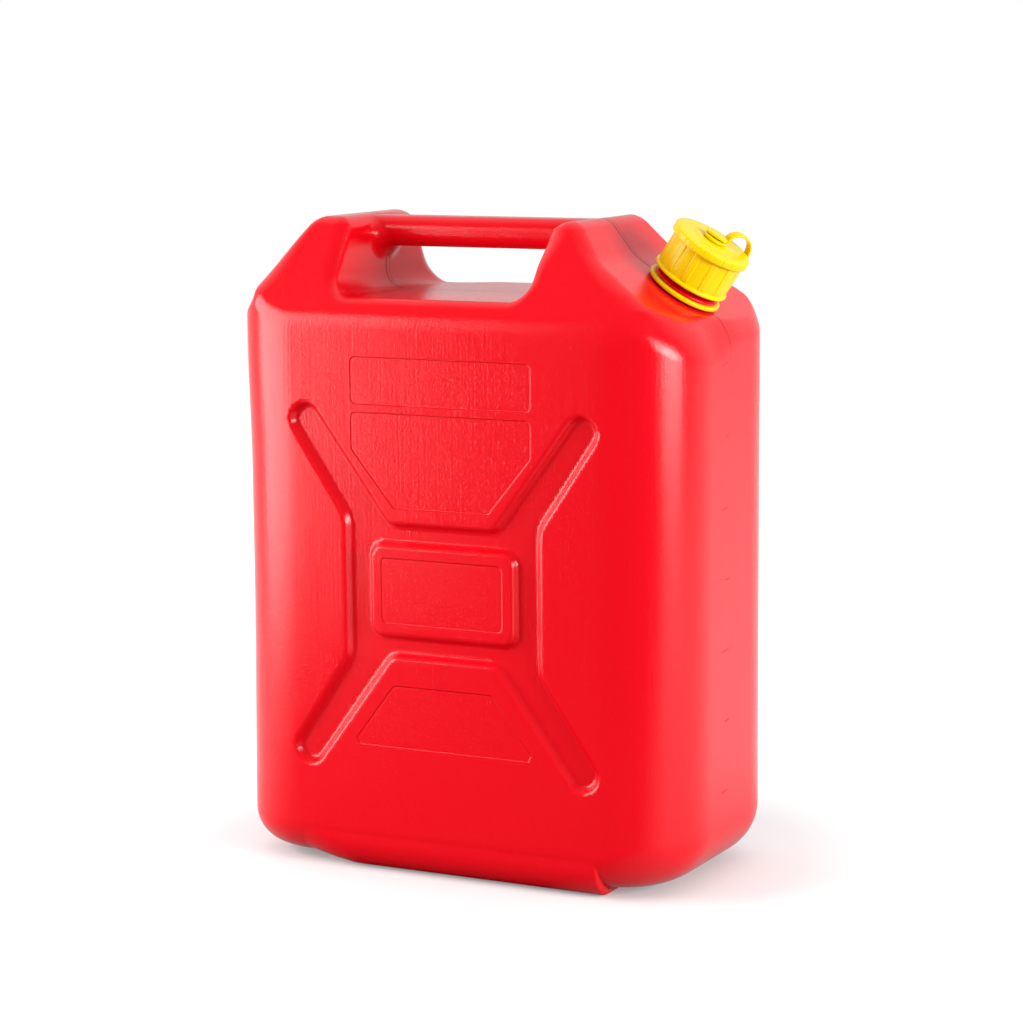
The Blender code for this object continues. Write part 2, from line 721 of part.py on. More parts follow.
def make_cap():
    """Screw cap: rim, ribbed skirt and flange, thread inside, post with its head on top."""
    to_neck = neck_matrix()
    rim_bottom = CAP_TOP - CAP_RIM_HEIGHT
    head_top = POST_HEAD_BOTTOM + POST_HEAD_HEIGHT
    flange_top = CAP_BOTTOM_HEIGHT + CAP_FLANGE_HEIGHT
    profile = [
        (0.0, head_top),
        (POST_HEAD_RADIUS * 0.7, head_top),
        (POST_HEAD_RADIUS, head_top - POST_HEAD_HEIGHT / 2),
        (POST_HEAD_RADIUS, POST_HEAD_BOTTOM),
        (POST_RADIUS, POST_HEAD_BOTTOM),
        (POST_RADIUS, CAP_TOP),
        (CAP_RIM_RADIUS - CAP_RIM_EDGE, CAP_TOP),
        (CAP_RIM_RADIUS, CAP_TOP - CAP_RIM_EDGE),
        (CAP_RIM_RADIUS, rim_bottom),
        (CAP_SKIRT_RADIUS, rim_bottom),
        (CAP_SKIRT_RADIUS, flange_top),
        (CAP_FLANGE_RADIUS, flange_top - CAP_FLANGE_HEIGHT / 4),
        (CAP_FLANGE_RADIUS, CAP_BOTTOM_HEIGHT),
        (CAP_BORE_RADIUS, CAP_BOTTOM_HEIGHT),
        (CAP_BORE_RADIUS, CAP_CEILING),
        (0.0, CAP_CEILING),
    ]
    cap = turned("cap", profile, to_neck)
    sleeve_bottom = flange_top - CAP_FLANGE_HEIGHT / 2
    sleeve = ribbed_sleeve("ribs", sleeve_bottom, rim_bottom + CAP_RIM_HEIGHT / 3, to_neck)
    cap = combine(cap, sleeve, "UNION")
    crest = CAP_BORE_RADIUS - THREAD_DEPTH
    thread = helix("cap_thread", CAP_BORE_RADIUS, crest, THREAD_START + PITCH / 2, to_neck)
    return combine(cap, thread, "UNION")


def make_gasket():
    """Flat sealing ring between the neck's lip and the cap's ceiling."""
    outer = CAP_BORE_RADIUS - GASKET_SIDE_GAP
    inner = outer - GASKET_WIDTH
    top = GASKET_BOTTOM + GASKET_THICKNESS
    profile = [(outer, top), (outer, GASKET_BOTTOM), (inner, GASKET_BOTTOM), (inner, top)]
    return turned("cap_gasket", profile, neck_matrix())


def make_ring():
    """Tether ring on the seat, kept under the neck's collar."""
    top = RING_BOTTOM + RING_THICKNESS
    soft = RING_THICKNESS / 4
    profile = [
        (RING_RADIUS - soft, top),
        (RING_RADIUS, top - soft),
        (RING_RADIUS, RING_BOTTOM + soft),
        (RING_RADIUS - soft, RING_BOTTOM),
        (RING_BORE_RADIUS, RING_BOTTOM),
        (RING_BORE_RADIUS, top),
    ]
    return turned("tether_ring", profile, neck_matrix())


def make_eyelet():
    """Tether eyelet, loose on the cap's post between the cap and the post's head."""
    top = EYELET_BOTTOM + EYELET_THICKNESS
    profile = [
        (EYELET_RADIUS, top),
        (EYELET_RADIUS, EYELET_BOTTOM),
        (EYELET_BORE_RADIUS, EYELET_BOTTOM),
        (EYELET_BORE_RADIUS, top),
    ]
    return turned("tether_eyelet", profile, neck_matrix(), ROUND_STEPS // 2)


def strap_route():
    """Route of the strap's middle line as (radius, height), up from the ring and over to the eyelet."""
    ring_height = RING_BOTTOM + RING_THICKNESS / 2
    eyelet_height = EYELET_BOTTOM + EYELET_THICKNESS / 2
    outside = CAP_RIM_RADIUS + STRAP_THICKNESS / 2 + STRAP_BULGE / 2
    across = outside - EYELET_RADIUS
    crown = CAP_TOP + STRAP_RISE
    return [
        (RING_RADIUS + SEAT_GAP, ring_height),
        (RING_RADIUS + STRAP_BULGE * 0.8, ring_height + RING_THICKNESS * 0.6),
        (outside + STRAP_BULGE * 0.5, CAP_TOP * 0.35),
        (outside + STRAP_BULGE * 0.4, CAP_TOP * 0.70),
        (outside, CAP_TOP),
        (EYELET_RADIUS + across * 0.94, CAP_TOP + STRAP_RISE * 0.58),
        (EYELET_RADIUS + across * 0.74, crown - STRAP_RISE * 0.10),
        (EYELET_RADIUS + across * 0.50, crown),
        (EYELET_RADIUS + across * 0.24, crown - STRAP_RISE * 0.12),
        (EYELET_RADIUS + across * 0.08, CAP_TOP + STRAP_RISE * 0.50),
        (EYELET_RADIUS + SEAT_GAP, eyelet_height),
    ]


def smooth_route(points, steps):
    """Catmull-Rom curve through the route's points."""
    padded = [points[0]] + points + [points[-1]]
    route = []
    for index in range(len(points) - 1):
        p0, p1, p2, p3 = (Vector(point) for point in padded[index:index + 4])
        for step in range(steps):
            t = step / steps
            route.append(0.5 * (
                2 * p1 + (p2 - p0) * t + (2 * p0 - 5 * p1 + 4 * p2 - p3) * t * t
                + (3 * p1 - p0 - 3 * p2 + p3) * t * t * t
            ))
    route.append(Vector(points[-1]))
    return route


def make_strap():
    """Flat band between the ring and the eyelet, in a plane through the neck's axis."""
    route = smooth_route(strap_route(), FILLET_STEPS // 2)
    rings = []
    for index, here in enumerate(route):
        before = route[max(index - 1, 0)]
        after = route[min(index + 1, len(route) - 1)]
        along = (after - before).normalized()
        if index in (0, len(route) - 1):
            along = Vector((1.0 if index == 0 else -1.0, 0.0))
        side = Vector((-along.y, along.x)) * STRAP_THICKNESS / 2
        ring = []
        for offset, y in ((side, 1), (side, -1), (-side, -1), (-side, 1)):
            point = here + offset
            ring.append((point.x, y * STRAP_WIDTH / 2, point.y))
        rings.append(ring)
    place = neck_matrix() @ Matrix.Rotation(math.radians(STRAP_AZIMUTH), 4, "Z")
    return loft("tether_strap", rings, place)


# Materials and scene

def make_material(name, colour, roughness):
    """Plain moulded plastic or rubber."""
    material = bpy.data.materials.new(name)
    material.use_nodes = True
    shader = material.node_tree.nodes["Principled BSDF"]
    shader.inputs["Base Color"].default_value = (*colour, 1.0)
    shader.inputs["Roughness"].default_value = roughness
    shader.inputs["Metallic"].default_value = 0.0
    return material


def place(made, collection, material, smooth_angle=30.0):
    """Moves an object to its collection, with its material and smooth shading."""
    for other in list(made.users_collection):
        other.objects.unlink(made)
    collection.objects.link(made)
    made.data.materials.clear()
    made.data.materials.append(material)
    made.data.shade_smooth()
    made.data.set_sharp_from_angle(angle=math.radians(smooth_angle))


def hang_on(made, parent):
    """Parents an object to an empty and keeps its place in the world."""
    made.parent = parent
    made.matrix_parent_inverse = parent.matrix_world.inverted()


def main():
    for old in list(bpy.data.objects):
        bpy.data.objects.remove(old)
    collection = bpy.data.collections.new("fuel_can")
    bpy.context.scene.collection.children.link(collection)

    red = make_material("red_polyethylene", (0.80, 0.012, 0.018), 0.42)
    yellow = make_material("yellow_polypropylene", (0.90, 0.62, 0.0), 0.38)
    pale = make_material("pale_polyethylene_foam", (0.75, 0.73, 0.68), 0.70)

    axis = bpy.data.objects.new("neck_axis", None)
    axis.empty_display_size = CAP_RIM_RADIUS
    axis.matrix_world = neck_matrix()
    collection.objects.link(axis)
    bpy.context.view_layer.update()

    place(make_tank(), collection, red)
    pieces = (
        (make_cap(), yellow),
        (make_gasket(), pale),
        (make_ring(), yellow),
        (make_strap(), yellow),
        (make_eyelet(), yellow),
    )
    for made, material in pieces:
        place(made, collection, material)
        hang_on(made, axis)


main()
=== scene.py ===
# %% [markdown]
# A 20 litre fuel can
#
# The real can is four mouldings: a blow-moulded tank with its own handle and neck, a screw cap,
# a sealing ring inside that cap, and a tether that keeps the cap with the can. This lesson gives
# each of them its full shape and plastic on top of the CAD model, which has the same places and
# sizes in metres, and then lights them as in a plain studio.

import math

import bpy
import numpy as np
from mathutils import Matrix, Vector


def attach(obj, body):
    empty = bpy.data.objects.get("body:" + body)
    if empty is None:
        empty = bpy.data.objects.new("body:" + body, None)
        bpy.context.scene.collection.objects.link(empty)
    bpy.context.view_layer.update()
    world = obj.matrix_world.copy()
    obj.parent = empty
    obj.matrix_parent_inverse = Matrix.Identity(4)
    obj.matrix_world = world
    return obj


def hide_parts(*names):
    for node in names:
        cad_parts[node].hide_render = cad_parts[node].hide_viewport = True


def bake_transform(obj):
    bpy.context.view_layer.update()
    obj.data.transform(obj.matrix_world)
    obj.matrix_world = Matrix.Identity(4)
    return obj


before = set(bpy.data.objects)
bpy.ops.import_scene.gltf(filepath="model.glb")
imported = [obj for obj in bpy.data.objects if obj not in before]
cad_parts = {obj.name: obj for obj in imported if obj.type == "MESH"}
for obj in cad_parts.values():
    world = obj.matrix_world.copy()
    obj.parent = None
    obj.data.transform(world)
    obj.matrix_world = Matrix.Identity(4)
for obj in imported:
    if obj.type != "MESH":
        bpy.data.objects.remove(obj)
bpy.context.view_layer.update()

# %% [markdown]
# Helpers for meshes
#
# Most pieces here are a sheet of points over two parameters. A sheet can close on itself along
# either parameter, and it can end in a pole, so one function that joins such a sheet into faces
# serves all of them. It could be done with Screw or Skin modifiers too, but then ribs and
# notches that vary round the piece would need many Booleans.

# %% Sheets of points
def faces_outwards(points, faces):
    """Turns the faces of a closed mesh round if the volume in them, a . (b x c) / 6 summed, is negative."""
    triangles = np.array([(face[0], face[k], face[k + 1]) for face in faces for k in range(1, len(face) - 1)])
    a, b, c = (points[triangles[:, k]] - points[0] for k in range(3))
    volume = float((a * np.cross(b, c)).sum()) / 6
    return [face[::-1] for face in faces] if volume < 0 else faces


def make_mesh_object(name, points, faces, smooth=True, closed=True):
    """New object with its place in its mesh. Each face is a list of three or more point numbers."""
    faces = [list(map(int, face)) for face in faces]
    if closed:
        faces = faces_outwards(points, faces)
    mesh = bpy.data.meshes.new(name)
    mesh.from_pydata(points.tolist(), [], faces)
    mesh.validate()
    made = bpy.data.objects.new(name, mesh)
    bpy.context.scene.collection.objects.link(made)
    if smooth:
        mesh.shade_smooth()
    return made


def sheet_faces(rows, columns, close_rows, close_columns):
    """Faces of a grid: point (i, j) joins (i + 1, j), (i + 1, j + 1) and (i, j + 1)."""
    row_count = rows if close_rows else rows - 1
    column_count = columns if close_columns else columns - 1
    i, j = np.meshgrid(np.arange(row_count), np.arange(column_count), indexing="ij")
    following_i, following_j = (i + 1) % rows, (j + 1) % columns
    corners = (i * columns + j, following_i * columns + j,
               following_i * columns + following_j, i * columns + following_j)
    return np.stack([corner.ravel() for corner in corners], axis=1)


def tube_faces(rows, columns):
    """Faces of a tube made of rings, closed by one many-sided face at each end."""
    ends = [np.arange(columns), (rows - 1) * columns + np.arange(columns)[::-1]]
    return sheet_faces(rows, columns, False, True).tolist() + [end.tolist() for end in ends]


def placed(points, place):
    """Grid of points as one list of rows, moved by a matrix."""
    return points.reshape(-1, 3) @ np.array(place.to_3x3()).T + np.array(place.translation)


def round_profile(corners, steps=5):
    """Profile with rounded corners: each (r, z, radius) corner becomes an arc of that radius."""
    flat = np.array([corner[:2] for corner in corners], dtype=float)
    pieces = [flat[:1]]
    for index in range(1, len(flat) - 1):
        radius = corners[index][2]
        here = flat[index]
        back, ahead = flat[index - 1] - here, flat[index + 1] - here
        back_length, ahead_length = np.hypot(*back), np.hypot(*ahead)
        back, ahead = back / back_length, ahead / ahead_length
        half = math.acos(float(np.clip(back @ ahead, -1.0, 1.0))) / 2
        if radius <= 0 or half > math.radians(89):
            pieces.append(here[None])
            continue
        reach = min(radius / math.tan(half), 0.48 * back_length, 0.48 * ahead_length)
        radius = reach * math.tan(half)
        centre = here + (back + ahead) / np.hypot(*(back + ahead)) * radius / math.sin(half)
        start, end = here + back * reach - centre, here + ahead * reach - centre
        share = np.linspace(0.0, 1.0, steps + 1)[:, None]
        sweep = math.pi - 2 * half
        arc = (np.sin((1 - share) * sweep) * start + np.sin(share * sweep) * end) / math.sin(sweep)
        pieces.append(centre + arc)
    pieces.append(flat[-1:])
    return np.concatenate(pieces)


def turned_piece(name, profile, place, columns=120, closed=False, shape=None):
    """Profile (r, z) turned about Z: the point at angle t is (r cos t, r sin t, z).

    A profile that starts or ends on the axis closes there in one pole. A function may change
    each radius by its angle, as ribs and notches do.
    """
    angle = np.linspace(0.0, 2 * math.pi, columns, endpoint=False)
    poles = [not closed and profile[0][0] < 1e-7, not closed and profile[-1][0] < 1e-7]
    body = profile[(1 if poles[0] else 0):(len(profile) - 1 if poles[1] else len(profile))]
    radius = np.repeat(body[:, :1], columns, axis=1)
    height = np.repeat(body[:, 1:], columns, axis=1)
    if shape is not None:
        radius, height = shape(radius, height, np.broadcast_to(angle, radius.shape))
    points = np.stack([radius * np.cos(angle), radius * np.sin(angle), height], axis=2).reshape(-1, 3)
    faces = sheet_faces(len(body), columns, closed, True)[:, ::-1].tolist()
    ends = ((poles[0], profile[0], 0, True), (poles[1], profile[-1], len(body) - 1, False))
    for is_pole, end, row, flip in ends:
        if is_pole:
            points = np.concatenate([points, [[0.0, 0.0, end[1]]]])
            pole = len(points) - 1
            first = row * columns + np.arange(columns)
            second = row * columns + (np.arange(columns) + 1) % columns
            fan = np.stack([first, second, np.full(columns, pole)], axis=1)
            faces += (fan[:, ::-1] if flip else fan).tolist()
    return make_mesh_object(name, placed(points, place), faces)


def dress(piece, body, slot, material, *nodes):
    """Lets a piece ride on its body, take its finish, and stand for CAD nodes."""
    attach(piece, body)
    piece.data.materials.clear()
    piece.data.materials.append(material)
    if nodes:
        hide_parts(*nodes)
    triangles = sum(len(polygon.vertices) - 2 for polygon in piece.data.polygons)
    print(piece.name, "rides on", body, "with", triangles, "triangles")
    return piece


# %% [markdown]
# Helpers for materials
#
# Every finish here is a Principled shader with a few texture nodes for its grain. Colours are
# written as the hex values that a picture editor shows, so one function turns them to linear
# light, and one adds a node with its settings and its links.

# %% Colours and nodes
def linear(hex_value, alpha=1.0):
    """sRGB hex to linear: ((c + 0.055) / 1.055) ** 2.4 above 0.04045, and c / 12.92 below."""
    channels = np.array([int(hex_value[i:i + 2], 16) for i in (1, 3, 5)]) / 255.0
    light = np.where(channels > 0.04045, ((channels + 0.055) / 1.055) ** 2.4, channels / 12.92)
    return (*light.tolist(), alpha)


def add_node(tree, kind, inputs=None, **settings):
    """Adds a node, sets its properties, then sets or links its inputs by name or number."""
    node = tree.nodes.new(kind)
    for key, value in settings.items():
        setattr(node, key, value)
    for key, value in (inputs or {}).items():
        if isinstance(value, bpy.types.NodeSocket):
            tree.links.new(value, node.inputs[key])
        else:
            node.inputs[key].default_value = value
    return node


def calculate(tree, operation, *values):
    """Output of a Math node. Its inputs in order are links or numbers."""
    return add_node(tree, "ShaderNodeMath", dict(enumerate(values)), operation=operation).outputs[0]


def remap(tree, value, low, high, to_low, to_high, **settings):
    """Output of a Map Range node, which takes low to to_low and high to to_high."""
    ranges = {"Value": value, "From Min": low, "From Max": high, "To Min": to_low, "To Max": to_high}
    return add_node(tree, "ShaderNodeMapRange", ranges, **settings).outputs[0]


def noise(tree, place, size_mm, **settings):
    """Output of a Noise Texture node whose largest features are about size_mm across."""
    inputs = {"Vector": place, "Scale": 1000 / size_mm, **settings}
    return add_node(tree, "ShaderNodeTexNoise", inputs).outputs[0]


def add_bump(tree, shader, height, distance=1.0, strength=1.0):
    """Bump from a height, in metres where the distance is 1."""
    bump = add_node(tree, "ShaderNodeBump", {"Height": height, "Distance": distance, "Strength": strength})
    tree.links.new(bump.outputs[0], shader.inputs["Normal"])


def new_plastic(name, colour, roughness, ior):
    """Material with its Principled shader ready, and its node tree."""
    material = bpy.data.materials.new(name)
    material.use_nodes = True
    shader = material.node_tree.nodes["Principled BSDF"]
    shader.inputs["Base Color"].default_value = linear(colour)
    shader.inputs["Roughness"].default_value = roughness
    shader.inputs["IOR"].default_value = ior
    shader.inputs["Metallic"].default_value = 0.0
    return material, material.node_tree, shader


# %% [markdown]
# The camera
#
# The camera's place and lens come from the picture's own perspective: the can's upright edges,
# its panels and the circle of its cap fix them. It stands two metres away, 27 degrees round to
# the right of the can's front, and a little above its top.

# %% Camera
LENS_MM, SENSOR_MM = 105.6, 36.0
CAMERA_PLACE = Vector((0.9131, -1.7667, 0.5394))
CAMERA_AHEAD = Vector((-0.45129, 0.87934, -0.15197))
CAMERA_RIGHT = Vector((0.89018, 0.45554, -0.00759))
camera_up = CAMERA_RIGHT.cross(CAMERA_AHEAD)
camera_data = bpy.data.cameras.new("camera")
camera_data.sensor_fit = "HORIZONTAL"
camera_data.sensor_width = SENSOR_MM
camera_data.lens = LENS_MM
camera = bpy.data.objects.new("camera", camera_data)
bpy.context.scene.collection.objects.link(camera)
turn = Matrix((CAMERA_RIGHT, camera_up, -CAMERA_AHEAD)).transposed().to_4x4()
camera.matrix_world = Matrix.Translation(CAMERA_PLACE) @ turn
bpy.context.scene.camera = camera
print("Camera lens", camera_data.lens, "mm")

# %% [markdown]
# The tank as a field
#
# A blow-moulded tank has no sharp edge anywhere: each face runs into the next over a radius, and
# that radius changes along the edge. Bevels on a Boolean model break where such radii meet. A
# field does not: it is a number for each point of space, negative inside the plastic and
# positive outside. Two fields join with a rounded maximum where the shape is what both hold, and
# with a rounded minimum where it is what either holds.

# %% Rounded joins of fields
def rounded_max(a, b, r):
    """Both shapes at once: min(max(a, b), -r) plus the length of what a + r and b + r have above 0."""
    return np.minimum(np.maximum(a, b), -r) + np.hypot(np.maximum(a + r, 0.0), np.maximum(b + r, 0.0))


def rounded_min(a, b, r):
    """Either shape: the rounded maximum turned inside out."""
    return -rounded_max(-a, -b, r)


def ease(value, low, high):
    """0 below low, 1 above high, and 3 s squared - 2 s cubed between them."""
    share = np.clip((value - low) / (high - low), 0.0, 1.0)
    return share * share * (3.0 - 2.0 * share)


def rounded_box(a, b, half_a, half_b, radius, power=2.0):
    """Distance to a rectangle with round corners, about its centre, in two directions.

    At power 2 a corner is a circle's. Above 2 it starts more gently from the sides.
    """
    past_a, past_b = np.abs(a) - (half_a - radius), np.abs(b) - (half_b - radius)
    outside = (np.maximum(past_a, 0.0) ** power + np.maximum(past_b, 0.0) ** power) ** (1.0 / power)
    return outside + np.minimum(np.maximum(past_a, past_b), 0.0) - radius


# %% [markdown]
# Panels pressed into the broad sides
#
# A cross-shaped recess stiffens each broad side, with a raised block in its middle, and four
# shallow fields are left for words that this part does not carry. Each outline is a polygon with
# round corners. Its distance is worked out once on a fine map, and the depth follows from it: a
# soft wall about as wide as the recess is deep.

# %% Outlines of the panels
TANK_HEIGHT = 0.432
PANEL_MIDDLE = 0.1915
RECESS_DEPTH = 0.005
MAP_STEP = 0.0004
map_x = np.arange(0.0, 0.1240, MAP_STEP)
map_z = np.arange(0.0, 0.1600, MAP_STEP)


def polygon_distance(corners, x, z):
    """Distance to a polygon's sides, negative inside by an even-odd count of crossings."""
    outline = round_profile(corners + [corners[0]], 6)[:-1] if len(corners[0]) > 2 else np.array(corners)
    nearest = np.full(np.broadcast(x, z).shape, 1e9)
    inside = np.zeros(nearest.shape, dtype=bool)
    for (x0, z0), (x1, z1) in zip(outline, np.roll(outline, -1, axis=0)):
        along_x, along_z = x1 - x0, z1 - z0
        length = along_x * along_x + along_z * along_z
        if length < 1e-14:
            continue
        share = np.clip(((x - x0) * along_x + (z - z0) * along_z) / length, 0.0, 1.0)
        nearest = np.minimum(nearest, np.hypot(x - x0 - share * along_x, z - z0 - share * along_z))
        if z0 != z1:
            crosses = ((z0 > z) != (z1 > z)) & (x < x0 + (z - z0) * along_x / along_z)
            inside ^= crosses
    return np.where(inside, -nearest, nearest)


def cross_quarter():
    """Upper right quarter of the cross: waist, arm tip and the notch above the middle."""
    lean = math.radians(36.6)
    along = np.array((math.sin(lean), math.cos(lean)))
    across = np.array((along[1], -along[0]))
    tip, tip_radius = np.array((0.1003, 0.110)), 0.012
    outer, inner = tip + (along + across) * tip_radius, tip + (along - across) * tip_radius
    return [(-0.05, -0.05, 0.0), (0.0722, -0.05, 0.0), (0.0722, 0.046, 0.016),
            (*outer, 0.0116), (*inner, 0.0116), (0.0375, 0.0457, 0.007), (-0.05, 0.0457, 0.0)]


def depth_map():
    """Depth of the recess over a quarter panel, eased in across its walls and out over the block."""
    x, z = map_x[:, None], map_z[None, :]
    cross = polygon_distance(cross_quarter(), x, z)
    block = rounded_box(x, z, 0.0525, 0.0305, 0.009)
    walls = ease(-cross, -0.0005, 0.0050)
    return RECESS_DEPTH * walls * ease(block, -0.0022, 0.0026)


recess_map = depth_map()


def sample_map(values, x, z):
    """Reads a quarter map at any point, by distance from its four nearest entries."""
    column = np.clip(np.abs(x) / MAP_STEP, 0.0, values.shape[0] - 1.001)
    row = np.clip(np.abs(z - PANEL_MIDDLE) / MAP_STEP, 0.0, values.shape[1] - 1.001)
    i, j = column.astype(int), row.astype(int)
    u, v = column - i, row - j
    low = values[i, j] * (1 - u) + values[i + 1, j] * u
    high = values[i, j + 1] * (1 - u) + values[i + 1, j + 1] * u
    return low * (1 - v) + high * v


print("Recess map", recess_map.shape, "deepest", round(float(recess_map.max()) * 1000, 2), "mm")

# %% [markdown]
# The tank's whole field
#
# The body is an upright prism with round corners, cut by leaning planes: a roof on each broad
# side, a slope at the left end, and at the right end a slope for the neck and a steeper one up to
# the handle. A U-shaped opening leaves room for the hand, and an oval bar bridges it, thickening
# into the left post. The middle of the underside stands a little lower than its ends.

# %% Field of the tank
HALF_WIDTH, HALF_DEPTH = 0.1655, 0.0883
PLAN_RADIUS, PLAN_POWER = 0.057, 2.35
NECK_TILT, HORN_TILT, ROOF_TILT, LEFT_TILT = 33.4, 52.0, 30.5, 37.9
SLOPE_START, ROOF_START, LEFT_START = 0.363, 0.367, 0.364
HORN_FOOT = (0.0979, 0.4076)
TOP_ROUND, FLOOR_ROUND, FLOOR_RISE = 0.0056, 0.025, 0.005
SEAT = np.array((0.131271, 0.0, 0.38557))
NECK_AXIS = np.array((math.sin(math.radians(NECK_TILT)), 0.0, math.cos(math.radians(NECK_TILT))))
OPENING_LEFT, OPENING_RIGHT, OPENING_FLOOR, OPENING_ROUND = -0.0870, 0.0565, 0.3815, 0.0135
BAR_MIDDLE, BAR_HALF_DEPTH, BAR_HALF_HEIGHT, BAR_ROUND = 0.42075, 0.014, 0.01025, 0.0095
FOOT_RIGHT, FOOT_LEFT, FOOT_TOP, FOOT_ROUND = 0.1105, -0.115, 0.034, 0.0205
RAMP_START, RAMP_SLOPE = 0.0745, 0.156


def leaning_plane(a, z, tilt, place_a, place_z):
    """Distance past a plane through one point, whose normal rises by tilt from level."""
    return (a - place_a) * math.cos(math.radians(tilt)) + (z - place_z) * math.sin(math.radians(tilt))


def plan_field(x, y):
    """The tank seen from above, with its round corners."""
    return rounded_box(x, y, HALF_WIDTH, HALF_DEPTH, PLAN_RADIUS, PLAN_POWER)


def body_field(x, y, z):
    """Prism, roofs, end slopes, top and floor, each joined by a rounded maximum."""
    wall = plan_field(x, y) + sample_map(recess_map, x, z)
    wall = wall + 0.0014 * ease(-x, 0.10, 0.15) * ease(z, 0.04, 0.20) * (1 - ease(z, 0.26, 0.35))
    at_back = ease(y, -0.030, 0.020)
    roof = leaning_plane(np.abs(y), z, ROOF_TILT, HALF_DEPTH, ROOF_START)
    roof_round = 0.0036 + 0.0024 * ease(x, 0.06, 0.14) + 0.0020 * ease(x, 0.095, 0.145) * (1 - at_back)
    field = rounded_max(wall, roof, roof_round)
    left = leaning_plane(-x, z, LEFT_TILT, HALF_WIDTH, LEFT_START)
    left_round = 0.0045 + 0.0085 * ease(z, 0.364, 0.380) - 0.0078 * ease(z, 0.388, 0.426)
    field = rounded_max(field, left, left_round)
    slope = leaning_plane(x, z, 90 - NECK_TILT, HALF_WIDTH, SLOPE_START)
    horn = leaning_plane(x, z, 90 - HORN_TILT, *HORN_FOOT)
    right = rounded_min(slope, horn, 0.0016)
    right_round = 0.0088 - 0.0058 * ease(z, 0.362, 0.380) * at_back
    right_round = right_round + 0.0090 * (1 - ease(z, 0.366, 0.392)) * (1 - at_back)
    field = rounded_max(field, right, right_round)
    field = rounded_max(field, z - TANK_HEIGHT, TOP_ROUND)
    return rounded_max(field, FLOOR_RISE - z, FLOOR_ROUND + 0.009 * ease(x, 0.105, 0.150))


def tank_field(x, y, z):
    """Body less the hand opening, with the bar and the foot, less the hollow under the neck."""
    field = body_field(x, y, z)
    middle, half = (OPENING_LEFT + OPENING_RIGHT) / 2, (OPENING_RIGHT - OPENING_LEFT) / 2
    past_x = np.abs(x - middle) - (half - OPENING_ROUND)
    past_z = OPENING_FLOOR + OPENING_ROUND - z
    opening = np.hypot(np.maximum(past_x, 0.0), np.maximum(past_z, 0.0))
    opening = opening + np.minimum(np.maximum(past_x, past_z), 0.0) - OPENING_ROUND
    on_wall = ease(z, OPENING_FLOOR + 0.001, OPENING_FLOOR + 0.019)
    right_front = ease(x, -0.01, 0.01) * ease(z, 0.398, 0.426) * ease(-y, 0.0, 0.02)
    rim = 0.009 + 0.011 * ease(y, -0.02, 0.02) + 0.010 * right_front
    mouth = 0.010 + 0.011 * ease(x, -0.03, 0.03)
    at_top = 1.0 - ease(np.abs(y), 0.018, 0.062)
    on_floor = 0.0044 + 0.0120 * ease(y, 0.0, 0.03) * (1.0 - ease(x, -0.068, -0.034))
    radius = on_wall * (rim + (mouth - rim) * at_top) + (1.0 - on_wall) * on_floor
    field = rounded_max(field, -opening, radius)

    section = rounded_box(y, z - BAR_MIDDLE, BAR_HALF_DEPTH, BAR_HALF_HEIGHT, BAR_ROUND)
    bar = np.maximum(section, np.abs(x - middle) - (half + 0.014))
    flare = (0.011 - 0.006 * ease(x, -0.04, 0.03)) * (1.0 - ease(z, 0.419, 0.4315))
    field = rounded_min(field, bar, flare + 0.0003)

    ramp = (-x - RAMP_START) * RAMP_SLOPE - z
    foot_round = FOOT_ROUND + 0.0040 * ease(-x, 0.086, 0.115)
    foot = rounded_max(plan_field(x, y) + 0.0003, rounded_max(ramp, -z, 0.002), foot_round)
    foot = rounded_max(foot, np.maximum(x - FOOT_RIGHT, FOOT_LEFT - x), 0.003)
    field = np.minimum(field, np.maximum(foot, z - FOOT_TOP))

    rise = (x - SEAT[0]) * NECK_AXIS[0] + (z - SEAT[2]) * NECK_AXIS[2]
    aside = (x - SEAT[0]) * NECK_AXIS[2] - (z - SEAT[2]) * NECK_AXIS[0]
    away = np.hypot(aside, y)
    bore = np.maximum(away - 0.0178, -(rise + 0.060))
    hollow = rounded_min(bore, np.hypot(away, rise + 0.066) - 0.040, 0.008)
    return np.maximum(field, -hollow)


for label, x in (("inside", 0.0), ("outside", 0.3)):
    value = float(tank_field(np.array(x), np.array(0.0), np.array(0.2)))
    print("Field at a point", label, "the tank:", round(value, 4))

# %% [markdown]
# From field to mesh
#
# Where the field is zero there is the tank's skin. A box of small cells is laid over it, each
# cell that the skin passes through gets one point, and four neighbouring points make a face.
# Then each point is moved along the field's slope onto the skin itself, and the slope gives the
# exact normal too, so the shading is smooth without many more faces. The middle layer of cells
# lies on the parting plane of the mould, where the two halves meet, and the tank is cut there
# into a front and a back piece, as its mould is.

# %% Mesh of a field
CELL = 0.00175


def slope_of(field, points, step=0.0002):
    """Slope of the field by the difference between both sides of each point, along x, y and z."""
    slopes = []
    for axis in range(3):
        offset = np.zeros(3)
        offset[axis] = step
        ahead, behind = points + offset, points - offset
        slopes.append((field(*ahead.T) - field(*behind.T)) / (2 * step))
    return np.stack(slopes, axis=1)


